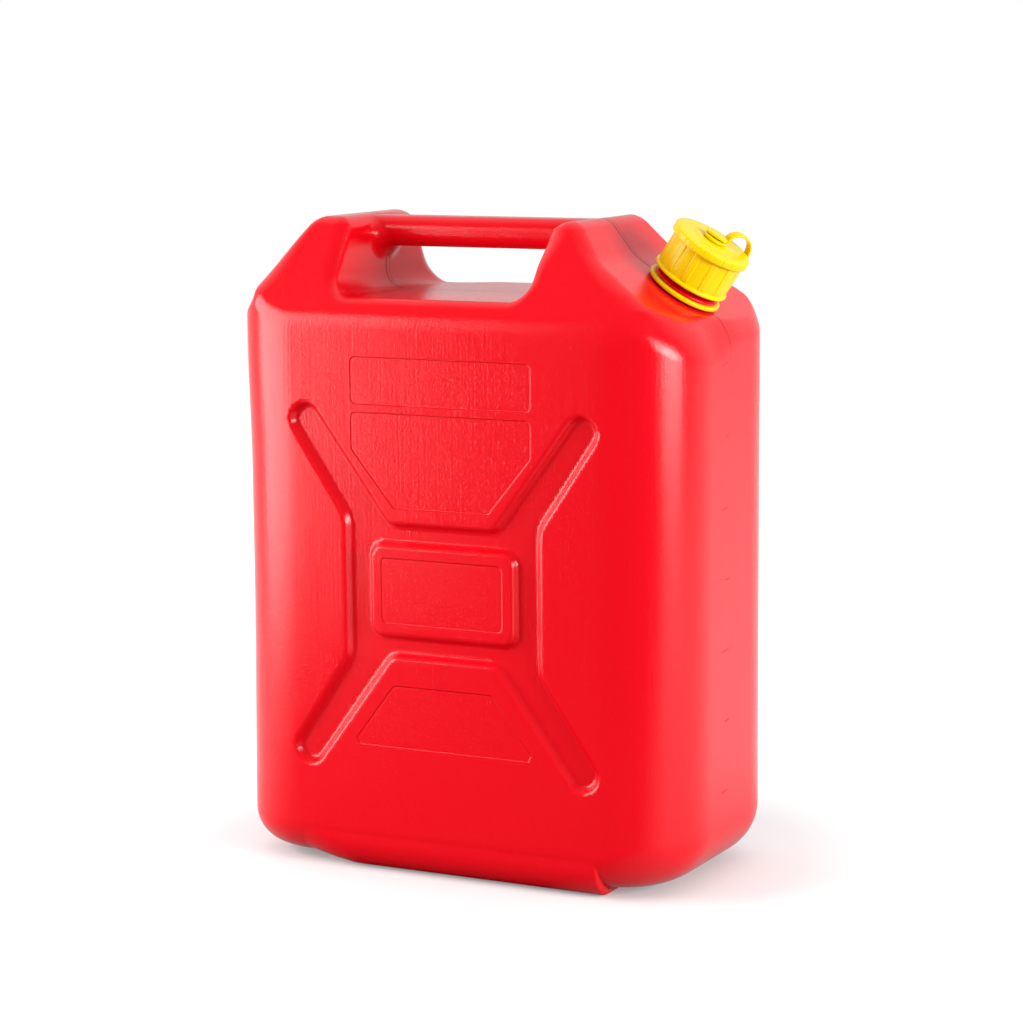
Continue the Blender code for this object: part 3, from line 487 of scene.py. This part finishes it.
def skin_of(field, low, high, cell):
    """Points and faces where a field is zero, with the layer of each point across y."""
    half_layers = int(math.ceil(high[1] / cell + 1.5))
    xs = np.arange(low[0] - 1.5 * cell, high[0] + 1.5 * cell, cell)
    ys = (np.arange(2 * half_layers) - half_layers + 0.5) * cell
    zs = np.arange(low[2] - 1.5 * cell, high[2] + 1.5 * cell, cell)
    values = np.concatenate([field(xs[i:i + 8, None, None], ys[None, :, None], zs[None, None, :])
                             for i in range(0, len(xs), 8)])
    solid = values < 0
    shape = np.array(values.shape) - 1
    corners = [(a, b, c) for a in (0, 1) for b in (0, 1) for c in (0, 1)]

    def part(array, corner):
        return array[tuple(slice(o, o + n) for o, n in zip(corner, shape))]

    count = sum(part(solid, corner).astype(np.int8) for corner in corners)
    cells = np.argwhere((count > 0) & (count < 8))
    at_corner = {corner: values[tuple((cells + corner).T)] for corner in corners}
    total, hits = np.zeros((len(cells), 3)), np.zeros(len(cells))
    for start in corners:
        for axis in range(3):
            if start[axis]:
                continue
            end = tuple(1 if k == axis else start[k] for k in range(3))
            a, b = at_corner[start], at_corner[end]
            crossed = (a < 0) != (b < 0)
            share = np.where(crossed, a / np.where(crossed, a - b, 1.0), 0.0)
            place = np.array(start, dtype=float) + np.zeros((len(cells), 3))
            place[:, axis] += share
            total += place * crossed[:, None]
            hits += crossed
    points = np.array((xs[0], ys[0], zs[0])) + (cells + total / hits[:, None]) * cell
    number = np.full(tuple(shape), -1, dtype=np.int64)
    number[tuple(cells.T)] = np.arange(len(cells))

    faces = []
    for axis in range(3):
        first, second = (axis + 1) % 3, (axis + 2) % 3
        low_side = [slice(1, -1)] * 3
        high_side = [slice(1, -1)] * 3
        low_side[axis], high_side[axis] = slice(0, -1), slice(1, None)
        before, after = solid[tuple(low_side)], solid[tuple(high_side)]
        for inside_first in (True, False):
            edges = np.argwhere((before == inside_first) & (after == (not inside_first)))
            edges = edges + [0 if k == axis else 1 for k in range(3)]
            around = []
            for da, db in ((0, 0), (-1, 0), (-1, -1), (0, -1)):
                moved = edges.copy()
                moved[:, first] += da
                moved[:, second] += db
                around.append(number[tuple(moved.T)])
            quads = np.stack(around, axis=1)
            faces.append(quads if inside_first else quads[:, ::-1])
    return points, np.concatenate(faces), cells[:, 1] - (half_layers - 1)


def settle(field, points, layer, rounds=3):
    """Moves points onto the skin: each steps back by field times slope over slope squared."""
    for _ in range(rounds):
        slopes = slope_of(field, points)
        slopes[layer == 0, 1] = 0.0
        points[layer == 0, 1] = 0.0
        steep = np.maximum((slopes * slopes).sum(axis=1), 0.2)
        step = (field(*points.T) / steep)[:, None] * slopes
        longest = np.hypot(np.hypot(step[:, 0], step[:, 1]), step[:, 2])
        points -= step * np.minimum(1.0, 0.4 * CELL / np.maximum(longest, 1e-9))[:, None]
    return points


tank_points, tank_faces, tank_layer = skin_of(
    tank_field, (-HALF_WIDTH, -HALF_DEPTH, 0.0), (HALF_WIDTH, HALF_DEPTH, TANK_HEIGHT), CELL)
tank_points = settle(tank_field, tank_points, tank_layer)
tank_normals = slope_of(tank_field, tank_points)
tank_normals /= np.maximum(np.linalg.norm(tank_normals, axis=1), 1e-9)[:, None]
print("Tank skin:", len(tank_points), "points,", len(tank_faces), "faces")

# %% [markdown]
# Polyethylene of the tank
#
# High-density polyethylene is blown against a sand-blasted mould, so it comes out semi-gloss
# with a fine grain. The hot tube that is blown up has faint upright streaks from its die, and
# they stay on the broad sides. The shallow fields of the panels are only 0.6 mm deep, so the mesh
# carries the distance to their edges as an attribute and the bump draws the step.

# %% Red polyethylene
# The second colour is painted shade for the parting line's groove.
TANK_RED, SEAM_SHADE_RED = "#DB0516", "#780209"
GRAIN_MM, WAVE_MM, STREAK_MM, STREAK_LENGTH_MM = 1.1, 1.7, 1.6, 70.0
GRAIN_DEPTH, STREAK_DEPTH, SEAM_DEPTH, FIELD_DEPTH = 0.00013, 0.00008, 0.00015, 0.0006


def make_red_polyethylene():
    """Grain, die streaks, field edges and the parting line, added up as one height in metres, with painted
    shade along the parting line.
    """
    material, tree, shader = new_plastic("red_hdpe_blow_moulded", TANK_RED, 0.18, 1.54)
    place = add_node(tree, "ShaderNodeTexCoord").outputs["Object"]
    split = add_node(tree, "ShaderNodeSeparateXYZ", {0: place}).outputs
    grain = noise(tree, place, GRAIN_MM, Detail=3.0, Roughness=0.55)
    shrink = (1.0, 1.0, STREAK_MM / STREAK_LENGTH_MM)
    stretch = add_node(tree, "ShaderNodeMapping", {"Vector": place, "Scale": shrink}).outputs[0]
    streaks = noise(tree, stretch, STREAK_MM, Detail=2.0, Roughness=0.5)
    field_edge = add_node(tree, "ShaderNodeAttribute", attribute_name="field_edge").outputs["Fac"]
    step = remap(tree, field_edge, -0.0005, 0.0005, -FIELD_DEPTH, 0.0, interpolation_type="SMOOTHSTEP")

    # The parting line runs all round at y = 0, with a second one beside it above the shoulder.
    # Both are shallow grooves with lowered specular, and painted shade: their base colour darkens
    # to a deep red, more strongly above the shoulder.
    off_seam = calculate(tree, "ABSOLUTE", split[1])
    line = remap(tree, off_seam, 0.0003, 0.0011, 1.0, 0.0, interpolation_type="SMOOTHSTEP")
    off_second = calculate(tree, "COMPARE", split[1], 0.0038, 0.0004)
    up_there = remap(tree, split[2], 0.370, 0.376, 0.0, 0.8)
    second = calculate(tree, "MULTIPLY", off_second, up_there)
    lines = calculate(tree, "MAXIMUM", line, second)
    depth = remap(tree, split[2], 0.320, 0.372, 0.05, 0.9)
    shade = calculate(tree, "MULTIPLY", lines, depth)
    seam = calculate(tree, "MULTIPLY", shade, SEAM_DEPTH)
    dull = remap(tree, shade, 0.0, 1.0, 0.37, 0.08)
    tree.links.new(dull, shader.inputs["Specular IOR Level"])
    # Painted shade: the base colour darkens toward a deep red along the seam lines.
    painted_seam_shade = add_node(tree, "ShaderNodeMix", {"Factor": shade}, data_type="RGBA")
    painted_seam_shade.inputs["A"].default_value = linear(TANK_RED)
    painted_seam_shade.inputs["B"].default_value = linear(SEAM_SHADE_RED)
    tree.links.new(painted_seam_shade.outputs["Result"], shader.inputs["Base Color"])

    wavy = noise(tree, place, WAVE_MM, Detail=1.0, Distortion=1.0)
    in_field = remap(tree, field_edge, -0.0020, 0.0, 0.00011, 0.00003)
    height = calculate(tree, "MULTIPLY", grain, GRAIN_DEPTH)
    height = calculate(tree, "MULTIPLY_ADD", wavy, in_field, height)
    height = calculate(tree, "MULTIPLY_ADD", streaks, STREAK_DEPTH, height)
    height = calculate(tree, "ADD", height, step)
    height = calculate(tree, "ADD", height, seam)
    add_bump(tree, shader, height)
    return material


red_polyethylene = make_red_polyethylene()
print("Made", red_polyethylene.name)

# %% [markdown]
# Edges of the shallow fields
#
# Each field is the inside of an outline, and a point's value is its distance to the nearest
# field, negative within. It is stored on the mesh, where the material reads it.

# %% Shallow fields
def field_distance(x, z):
    """Smallest distance to the upper plate, the funnel, the block's plate and the lower plate."""
    rise = z - PANEL_MIDDLE
    upper = rounded_box(x, rise - 0.13715, 0.0655, 0.01535, 0.0035)
    funnel = [(0.0347, 0.0547, 0.0035), (0.0655, 0.0922, 0.0035), (0.0655, 0.1163, 0.0035),
              (-0.0655, 0.1163, 0.0035), (-0.0655, 0.0922, 0.0035), (-0.0347, 0.0547, 0.0035)]
    plate = rounded_box(x, rise, 0.0443, 0.02165, 0.0035)
    lower = [(0.0628, -0.1045, 0.0017), (0.0645, -0.1000, 0.0017), (0.036, -0.0630, 0.0035),
             (-0.036, -0.0630, 0.0035), (-0.0645, -0.1000, 0.0017), (-0.0628, -0.1045, 0.0017)]
    fields = [upper, polygon_distance(funnel, x, rise), plate, polygon_distance(lower, x, rise)]
    return np.minimum.reduce(fields)


def tank_half(name, keep):
    """One half of the tank, with its own points, exact normals and field distances."""
    quads = tank_faces[keep]
    used, local = np.unique(quads, return_inverse=True)
    points, normals = tank_points[used], tank_normals[used]
    made = make_mesh_object(name, points, local.reshape(quads.shape), closed=False)
    made.data.normals_split_custom_set_from_vertices(normals.tolist())
    distance = np.where(np.abs(normals[:, 1]) > 0.5, field_distance(points[:, 0], points[:, 2]), 0.05)
    stored = made.data.attributes.new("field_edge", "FLOAT", "POINT")
    stored.data.foreach_set("value", distance.astype(np.float32))
    return dress(made, "tank", "tank_plastic", red_polyethylene)


at_front = tank_layer[tank_faces].max(axis=1) <= 0
tank_front = tank_half("tank_front", at_front)
tank_back = tank_half("tank_back", ~at_front)
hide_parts("tank")
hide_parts("tank")

# %% [markdown]
# The neck
#
# The neck stands on the slope. Its collar keeps the tether's ring down, and a raised thread of
# two turns carries the cap. The tube is a turned profile, and the thread is one section carried
# along a helix that sinks back into the tube at both ends.

# %% Neck and thread
seat_frame = Matrix.Translation(Vector(SEAT)) @ Matrix.Rotation(math.radians(NECK_TILT), 4, "Y")
NECK_RADIUS, BORE_RADIUS, NECK_TOP, THREAD_PITCH = 0.0196, 0.0170, 0.0342, 0.006


def helix_piece(name, root, crest, start, turns, place, columns=8, rows=200):
    """Thread: at turn s the section's centre is (r cos 2 pi s, r sin 2 pi s, start + pitch s)."""
    share = np.linspace(0.0, turns, rows)
    fade = ease(share, 0.0, 0.11) * ease(turns - share, 0.0, 0.11)
    around = np.linspace(0.0, 2 * math.pi, columns, endpoint=False)
    tip = (crest - root) * fade[:, None]
    rise = 0.0014 * np.sign(np.sin(around)) * np.abs(np.sin(around)) ** 0.8
    sunk = np.sign(crest - root) * 0.0005 * (1 - np.cos(around)) / 2
    out = root + tip * (0.5 + 0.5 * np.cos(around)) ** 0.6 - sunk
    angle = 2 * math.pi * share[:, None]
    height = start + THREAD_PITCH * share[:, None] + rise
    points = np.stack([out * np.cos(angle), out * np.sin(angle), height], axis=2)
    return make_mesh_object(name, placed(points, place), tube_faces(rows, columns))


neck_profile = round_profile([
    (NECK_RADIUS + 0.0012, -0.0060, 0.0), (NECK_RADIUS, 0.0046, 0.002), (0.0228, 0.0046, 0.0004),
    (0.0228, 0.0060, 0.0006), (NECK_RADIUS, 0.0076, 0.0012), (NECK_RADIUS, NECK_TOP, 0.0008),
    (BORE_RADIUS, NECK_TOP, 0.0008), (BORE_RADIUS, -0.0080, 0.002), (0.0215, -0.0140, 0.001),
    (0.0215, -0.0060, 0.0)])[::-1]
neck = turned_piece("neck", neck_profile, seat_frame, closed=True)
dress(neck, "tank", "tank_plastic", red_polyethylene)
neck_thread = helix_piece("neck_thread", NECK_RADIUS, NECK_RADIUS + 0.0017, 0.0125, 2.0, seat_frame)
dress(neck_thread, "tank", "tank_plastic", red_polyethylene)

# %% [markdown]
# Level marks
#
# Seven short ridges on the right end show how full the can is, one for each two and a half
# litres. They belong to the mould, so they are low and have soft edges. Each is an oblong of
# four shrinking rings, and all seven are one mesh.

# %% Level marks
MARK_COUNT, LOWEST_MARK, MARK_STEP = 7, 0.0611, 0.0466
LONG_MARK, SHORT_MARK = 0.0140, 0.0085


def level_marks(name, heights, lengths, columns=16):
    """Rings at each (rise, share): the point at angle t is (rise, share l cos t, share w sin t + tilt)."""
    angle = np.linspace(0.0, 2 * math.pi, columns, endpoint=False)
    table = np.array([(-0.0006, 1.15), (0.0000, 1.0), (0.00035, 0.75), (0.0005, 0.35)])
    rings = len(table)
    points, faces = [], []
    for index, (height, length) in enumerate(zip(heights, lengths)):
        along = table[:, 1:] * np.cos(angle) * length / 2
        up = table[:, 1:] * np.sin(angle) * 0.0006
        out = HALF_WIDTH + np.repeat(table[:, :1], columns, axis=1)
        ring = np.stack([out, along - length / 2 - 0.0004, height + up + 0.06 * along], axis=2)
        points.append(ring.reshape(-1, 3))
        first = index * rings * columns
        faces += [[corner + first for corner in face] for face in tube_faces(rings, columns)]
    return make_mesh_object(name, np.concatenate(points), faces)


mark_number = np.arange(MARK_COUNT)
mark_heights = LOWEST_MARK + MARK_STEP * mark_number
marks = level_marks("level_marks", mark_heights, np.where(mark_number % 2 == 0, LONG_MARK, SHORT_MARK))
dress(marks, "tank", "tank_plastic", red_polyethylene)

# %% [markdown]
# Yellow polypropylene
#
# Cap and tether are injection-moulded in polypropylene, which stays a little see-through, so
# light spreads inside it and its shadows keep a warm colour. The mould is polished, so there is
# only a very fine texture, and some gloss varies from place to place.

# %% Yellow polypropylene
def make_yellow_polypropylene():
    """Smooth gloss with a faint ripple of about 3 mm and a spread of light under the skin."""
    material, tree, shader = new_plastic("yellow_polypropylene_injection_moulded", "#EBC800", 0.26, 1.46)
    place = add_node(tree, "ShaderNodeTexCoord").outputs["Object"]
    ripple = noise(tree, place, 3.0, Detail=2.0)
    fine = noise(tree, place, 0.8, Detail=2.0)
    height = calculate(tree, "MULTIPLY", ripple, 0.00006)
    height = calculate(tree, "MULTIPLY_ADD", fine, 0.00001, height)
    add_bump(tree, shader, height)
    gloss = remap(tree, ripple, 0.0, 1.0, 0.20, 0.30)
    tree.links.new(gloss, shader.inputs["Roughness"])
    shader.inputs["Specular IOR Level"].default_value = 0.24
    shader.inputs["Subsurface Weight"].default_value = 0.25
    shader.inputs["Subsurface Radius"].default_value = (1.0, 0.7, 0.1)
    shader.inputs["Subsurface Scale"].default_value = 0.002
    return material


yellow_polypropylene = make_yellow_polypropylene()
print("Made", yellow_polypropylene.name)

# %% [markdown]
# The screw cap
#
# The cap is a cup with a wide rim to grip, a ribbed skirt and a bead round its mouth. Its wall
# is one profile that runs from the middle of the top, down the outside, round the bead and up
# the inside. The ribs and the rim's notches are changes of radius with the angle, so they need
# no Boolean.

# %% Cap
CAP_TOP, RIM_LOW, BEAD_TOP, BEAD_LOW = 0.0394, 0.0336, 0.0123, 0.0099
CEILING, SKIRT_RADIUS, RIM_RADIUS, CAP_BORE = 0.0368, 0.0238, 0.0270, 0.0219
RIBS = 12


def cap_shape(radius, height, angle):
    """Adds ribs to the skirt, each about a third of their spacing wide, and notches to the rim."""
    phase = np.abs(((angle * RIBS / (2 * math.pi) + 0.147) % 1.0) - 0.5)
    rib = 1.0 - ease(phase, 0.15, 0.20)
    above_bead = ease(height, BEAD_TOP - 0.0002, BEAD_TOP + 0.0012)
    on_skirt = above_bead * (1 - ease(height, RIM_LOW - 0.0012, RIM_LOW + 0.0002))
    outside = radius > (SKIRT_RADIUS + CAP_BORE) / 2
    flare = 0.0004 * (1 - ease(height, BEAD_TOP, RIM_LOW))
    radius = radius + np.where(outside, on_skirt * (0.0006 * rib + flare), 0.0)
    notch_phase = np.abs(((angle * 2 * RIBS / (2 * math.pi) + 0.5) % 1.0) - 0.5)
    notch = 1.0 - ease(notch_phase, 0.03, 0.09)
    at_rim = np.where(outside & (radius > 0.0262), ease(height, RIM_LOW, RIM_LOW + 0.001), 0.0)
    return radius - 0.0003 * notch * at_rim, height


cap_profile = round_profile([
    (0.0, CAP_TOP + 0.0006, 0.0), (0.0125, CAP_TOP + 0.0006, 0.002), (0.0150, CAP_TOP, 0.002),
    (0.0230, CAP_TOP, 0.002), (RIM_RADIUS, CAP_TOP - 0.0004, 0.0012),
    (RIM_RADIUS, RIM_LOW + 0.0006, 0.0007), (RIM_RADIUS - 0.0008, RIM_LOW, 0.0004),
    (SKIRT_RADIUS, RIM_LOW - 0.0002, 0.0008),
    (SKIRT_RADIUS, RIM_LOW - 0.0018, 0.0), (SKIRT_RADIUS, 0.0270, 0.0), (SKIRT_RADIUS, 0.0200, 0.0),
    (SKIRT_RADIUS, BEAD_TOP + 0.0018, 0.0), (SKIRT_RADIUS, BEAD_TOP, 0.0008),
    (0.0256, BEAD_TOP - 0.0002, 0.0010), (0.0260, BEAD_LOW, 0.0009), (CAP_BORE, BEAD_LOW, 0.0005),
    (CAP_BORE, CEILING, 0.0008), (0.0, CEILING, 0.0)])
cap = turned_piece("cap_shell", cap_profile, seat_frame, 480, shape=cap_shape)
dress(cap, "cap", "cap_plastic", yellow_polypropylene, "cap")
cap_thread = helix_piece("cap_thread", CAP_BORE, CAP_BORE - 0.0017, 0.0155, 2.0, seat_frame)
dress(cap_thread, "cap", "cap_plastic", yellow_polypropylene)

# %% [markdown]
# Post and its head
#
# The tether's eyelet sits on a short post in the middle of the cap, under an oblong head that
# passes through it one way only. Post and head are one sheet: rings whose half length and half
# width change with the height, each a rounded oblong.

# %% Post
def oblong_piece(name, levels, place, exponent=2.6, columns=64):
    """Rings at each (height, half length, half width): a ring is a superellipse of that exponent."""
    angle = np.linspace(0.0, 2 * math.pi, columns, endpoint=False)
    table = np.array(levels)
    cosine, sine = np.cos(angle), np.sin(angle)
    long_side = np.sign(cosine) * np.abs(cosine) ** (2 / exponent)
    short_side = np.sign(sine) * np.abs(sine) ** (2 / exponent)
    points = np.stack([table[:, 1:2] * long_side, table[:, 2:3] * short_side,
                       np.repeat(table[:, :1], columns, axis=1)], axis=2)
    return make_mesh_object(name, placed(points, place), tube_faces(len(table), columns))


HEAD_LOW, HEAD_TOP, POST_RADIUS = 0.0427, 0.0446, 0.0030
post_frame = seat_frame @ Matrix.Rotation(math.radians(8.0), 4, "Z")
post_levels = [
    (CAP_TOP - 0.001, POST_RADIUS, POST_RADIUS), (CAP_TOP + 0.0008, POST_RADIUS, POST_RADIUS),
    (HEAD_LOW, POST_RADIUS, POST_RADIUS), (HEAD_LOW, 0.0072, 0.0036), (HEAD_LOW + 0.0002, 0.0076, 0.0040),
    (HEAD_LOW + 0.0010, 0.0078, 0.0042), (HEAD_TOP - 0.0004, 0.0076, 0.0040),
    (HEAD_TOP - 0.0001, 0.0072, 0.0036), (HEAD_TOP, 0.0064, 0.0029)]
cap_post = oblong_piece("cap_post", post_levels, post_frame)
dress(cap_post, "cap", "cap_plastic", yellow_polypropylene)

# %% [markdown]
# Sealing ring, tether ring and eyelet
#
# The flat sealing ring is cut from polyethylene foam and lies under the cap's ceiling. The
# tether's two ends are flat rings with soft edges. All three are turned profiles.

# %% Rings
def make_foam():
    """Closed-cell foam: matte, with pores of about 0.6 mm."""
    material, tree, shader = new_plastic("polyethylene_foam_die_cut", "#DDD8CC", 0.85, 1.50)
    place = add_node(tree, "ShaderNodeTexCoord").outputs["Object"]
    pores = add_node(tree, "ShaderNodeTexVoronoi", {"Vector": place, "Scale": 1000 / 0.6})
    add_bump(tree, shader, pores.outputs["Distance"], 0.0002, 0.6)
    return material


foam = make_foam()
gasket_low, gasket_top, gasket_out, gasket_in = 0.0345, 0.0365, 0.0214, 0.0162
gasket_profile = round_profile([(gasket_in + 0.001, gasket_top, 0.0), (gasket_out, gasket_top, 0.0004),
                                (gasket_out, gasket_low, 0.0004), (gasket_in, gasket_low, 0.0004),
                                (gasket_in, gasket_top, 0.0004), (gasket_in + 0.001, gasket_top, 0.0)])[:-1]
gasket = turned_piece("sealing_ring", gasket_profile, seat_frame, closed=True)
dress(gasket, "gasket", "gasket_foam", foam, "cap_gasket")

ring_profile = round_profile([(0.0232, 0.0043, 0.0), (0.0254, 0.0043, 0.0010), (0.0254, 0.0017, 0.0010),
                              (0.0218, 0.0005, 0.0006), (0.0218, 0.0043, 0.0006), (0.0232, 0.0043, 0.0)])[:-1]
ring = turned_piece("tether_ring_band", ring_profile, seat_frame, closed=True)
dress(ring, "tether", "cap_plastic", yellow_polypropylene, "tether_ring")

eyelet_low, eyelet_top = 0.0403, 0.0421
eyelet_profile = round_profile([(0.0050, eyelet_top, 0.0), (0.0078, eyelet_top, 0.0006),
                                (0.0078, eyelet_low, 0.0006), (0.0035, eyelet_low, 0.0004),
                                (0.0035, eyelet_top, 0.0004), (0.0050, eyelet_top, 0.0)])[:-1]
eyelet = turned_piece("tether_eyelet_band", eyelet_profile, seat_frame, 72, closed=True)
dress(eyelet, "eyelet", "cap_plastic", yellow_polypropylene, "tether_eyelet")

# %% [markdown]
# The tether's strap
#
# The strap is one flat band in a plane through the neck's axis. It leaves the ring, goes up
# behind the cap, bows over the rim and comes down to the eyelet. A flat section with soft edges
# is carried along that route.

# %% Strap
STRAP_AZIMUTH, STRAP_HALF_WIDTH, STRAP_HALF_THICK = 57.0, 0.0030, 0.0009
strap_route = np.array([
    (0.0246, 0.0023), (0.0270, 0.0032), (0.0290, 0.0080), (0.0296, 0.0160), (0.0296, 0.0260),
    (0.0294, 0.0340), (0.0291, 0.0380), (0.0284, 0.0410), (0.0273, 0.0438), (0.0250, 0.0465),
    (0.0210, 0.0485), (0.0164, 0.0491), (0.0122, 0.0478), (0.0097, 0.0452), (0.0090, 0.0432),
    (0.0084, 0.0412)])


def smooth_route(points, per_side):
    """Catmull-Rom curve: each stretch is a cubic through its two ends, sloped by their neighbours."""
    padded = np.concatenate([2 * points[:1] - points[1:2], points, 2 * points[-1:] - points[-2:-1]])
    p0, p1, p2, p3 = (padded[k:len(padded) - 3 + k, None, :] for k in range(4))
    t = np.linspace(0.0, 1.0, per_side, endpoint=False)[None, :, None]
    curve = 0.5 * (2 * p1 + (p2 - p0) * t + (2 * p0 - 5 * p1 + 4 * p2 - p3) * t ** 2
                   + (3 * p1 - p0 - 3 * p2 + p3) * t ** 3)
    return np.concatenate([curve.reshape(-1, points.shape[1]), points[-1:]])


def strap_piece(name, route, place, columns=24):
    """Band: across the route goes a flat oblong, thick along the route's normal and wide along y."""
    slope = np.gradient(route, axis=0)
    slope /= np.linalg.norm(slope, axis=1)[:, None]
    normal = np.stack([-slope[:, 1], slope[:, 0]], axis=1)
    around = np.linspace(0.0, 2 * math.pi, columns, endpoint=False)
    wide = np.sign(np.cos(around)) * np.abs(np.cos(around)) ** 0.5 * STRAP_HALF_WIDTH
    thick = np.sign(np.sin(around)) * np.abs(np.sin(around)) ** 0.6 * STRAP_HALF_THICK
    flat = route[:, None, :] + normal[:, None, :] * thick[None, :, None]
    across = np.broadcast_to(wide, flat.shape[:2])
    points = np.stack([flat[:, :, 0], across, flat[:, :, 1]], axis=2)
    return make_mesh_object(name, placed(points, place), tube_faces(len(route), columns))


strap_frame = seat_frame @ Matrix.Rotation(math.radians(STRAP_AZIMUTH), 4, "Z")
strap_curve = smooth_route(strap_route, 8)
strap = strap_piece("tether_strap_band", strap_curve, strap_frame)
strap.data.materials.append(yellow_polypropylene)
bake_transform(strap)
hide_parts("tether_strap")
strap_length = float(np.hypot(*np.diff(strap_curve, axis=0).T).sum())
print("Strap length", round(strap_length * 1000, 1), "mm")

# %% [markdown]
# Studio
#
# The picture is a plain catalogue one. White paper hangs behind the can and runs under it, and
# ends a little in front of it. A large soft panel stands at the left front and a lower and
# brighter one at the right, and the room in front is dim. Smooth plastic mirrors all of that
# weakly, which is why its front is a deep red and its right end a paler one. The paper carries
# painted shade: it is darker round the can, and dark grey in front of it to mirrored rays.

# %% Floor, world and lights
def make_floor():
    """Paper: its look is pale diffuse paint plus, for camera rays, a glow that brings it to white. Painted
    shade: the glow is weaker near the can, and to mirrored rays the paper in front is dark grey.
    """
    corners = np.array([(-2.5, -0.55, 0.0), (2.5, -0.55, 0.0), (2.5, 2.5, 0.0), (-2.5, 2.5, 0.0)])
    floor = make_mesh_object("floor", corners, np.array([(0, 1, 2, 3)]), smooth=False, closed=False)
    material = bpy.data.materials.new("pale_paper_matte")
    material.use_nodes = True
    tree = material.node_tree
    tree.nodes.clear()
    rays = add_node(tree, "ShaderNodeLightPath").outputs
    place = add_node(tree, "ShaderNodeTexCoord").outputs["Object"]
    away = add_node(tree, "ShaderNodeVectorMath", {0: place}, operation="LENGTH").outputs["Value"]
    to_back = add_node(tree, "ShaderNodeSeparateXYZ", {0: place}).outputs[1]
    turned = calculate(tree, "DIVIDE", to_back, away)
    # Painted shade: mirrored rays see the paper in front of the can dark grey and without glow.
    painted_shade_in_front = remap(tree, turned, -0.75, -0.40, 1.0, 0.0)
    share = remap(tree, painted_shade_in_front, 0.0, 1.0, 1.0, 0.0)
    dim = calculate(tree, "MULTIPLY", rays["Is Glossy Ray"], painted_shade_in_front)
    tone = add_node(tree, "ShaderNodeMix", {"Factor": rays["Is Camera Ray"]}, data_type="RGBA")
    tone.inputs["A"].default_value = linear("#A1A1A1")
    tone.inputs["B"].default_value = linear("#D4D4D4")
    painted_front_shade = add_node(tree, "ShaderNodeMix", {"Factor": dim, 6: tone.outputs["Result"]}, data_type="RGBA")
    painted_front_shade.inputs["B"].default_value = linear("#303030")
    paper = add_node(tree, "ShaderNodeBsdfDiffuse", {"Color": painted_front_shade.outputs["Result"]})
    seen = calculate(tree, "MAXIMUM", rays["Is Camera Ray"], rays["Is Transmission Ray"])
    seen = calculate(tree, "MULTIPLY_ADD", rays["Is Glossy Ray"], share, seen)
    # Painted shade: the glow rises from 0.21 within 0.2 m of the can to 0.65 past 0.4 m, so the paper round
    # the can is darker than its lighting makes it.
    glow_painted_shade_near_can = remap(tree, away, 0.20, 0.40, 0.21, 0.65)
    strength = calculate(tree, "MULTIPLY", seen, glow_painted_shade_near_can)
    glow = add_node(tree, "ShaderNodeEmission", {"Color": (1.0, 1.0, 1.0, 1.0), "Strength": strength})
    both = add_node(tree, "ShaderNodeAddShader", {0: paper.outputs[0], 1: glow.outputs[0]})
    add_node(tree, "ShaderNodeOutputMaterial", {"Surface": both.outputs[0]})
    floor.data.materials.append(material)


def make_world():
    """White to the camera, bright only behind the can when mirrored, and a light mostly from above."""
    world = bpy.data.worlds.new("studio")
    bpy.context.scene.world = world
    world.use_nodes = True
    tree = world.node_tree
    tree.nodes.clear()
    rays = add_node(tree, "ShaderNodeLightPath").outputs
    direction = add_node(tree, "ShaderNodeTexCoord").outputs["Generated"]
    behind = add_node(tree, "ShaderNodeVectorMath", {0: direction, 1: (-0.40, 0.90, 0.15)},
                      operation="DOT_PRODUCT").outputs["Value"]
    mirrored = remap(tree, behind, -0.15, 0.40, 0.0, 0.76)
    upward = add_node(tree, "ShaderNodeSeparateXYZ", {0: direction}).outputs[2]
    even = remap(tree, upward, 0.0, 1.0, 0.46, 1.15)
    light = add_node(tree, "ShaderNodeMix", {"Factor": rays["Is Glossy Ray"], "A": even, "B": mirrored})
    seen = calculate(tree, "MAXIMUM", rays["Is Camera Ray"], rays["Is Transmission Ray"])
    light = add_node(tree, "ShaderNodeMix", {"Factor": seen, "A": light.outputs["Result"], "B": 1.0})
    paint = {"Color": (1.0, 1.0, 1.0, 1.0), "Strength": light.outputs["Result"]}
    glow = add_node(tree, "ShaderNodeBackground", paint)
    add_node(tree, "ShaderNodeOutputWorld", {"Surface": glow.outputs[0]})


def soft_light(name, place, aim, width, height, brightness):
    """Panel that looks at a point. Its power is brightness times pi times its area."""
    data = bpy.data.lights.new(name, "AREA")
    data.shape = "RECTANGLE"
    data.size, data.size_y = width, height
    data.energy = brightness * math.pi * width * height
    lamp = bpy.data.objects.new(name, data)
    bpy.context.scene.collection.objects.link(lamp)
    lamp.location = place
    lamp.rotation_euler = (Vector(aim) - Vector(place)).to_track_quat("-Z", "Y").to_euler()
    lamp.visible_camera = False


make_floor()
make_world()
soft_light("panel_left", (-1.072, -0.737, 0.50), (0.0, 0.0, 0.30), 0.99, 1.10, 6.6)
soft_light("panel_right", (1.73, -0.32, 0.52), (0.0, 0.0, 0.25), 1.00, 0.62, 16.5)
bpy.context.scene.view_settings.view_transform = "Standard"
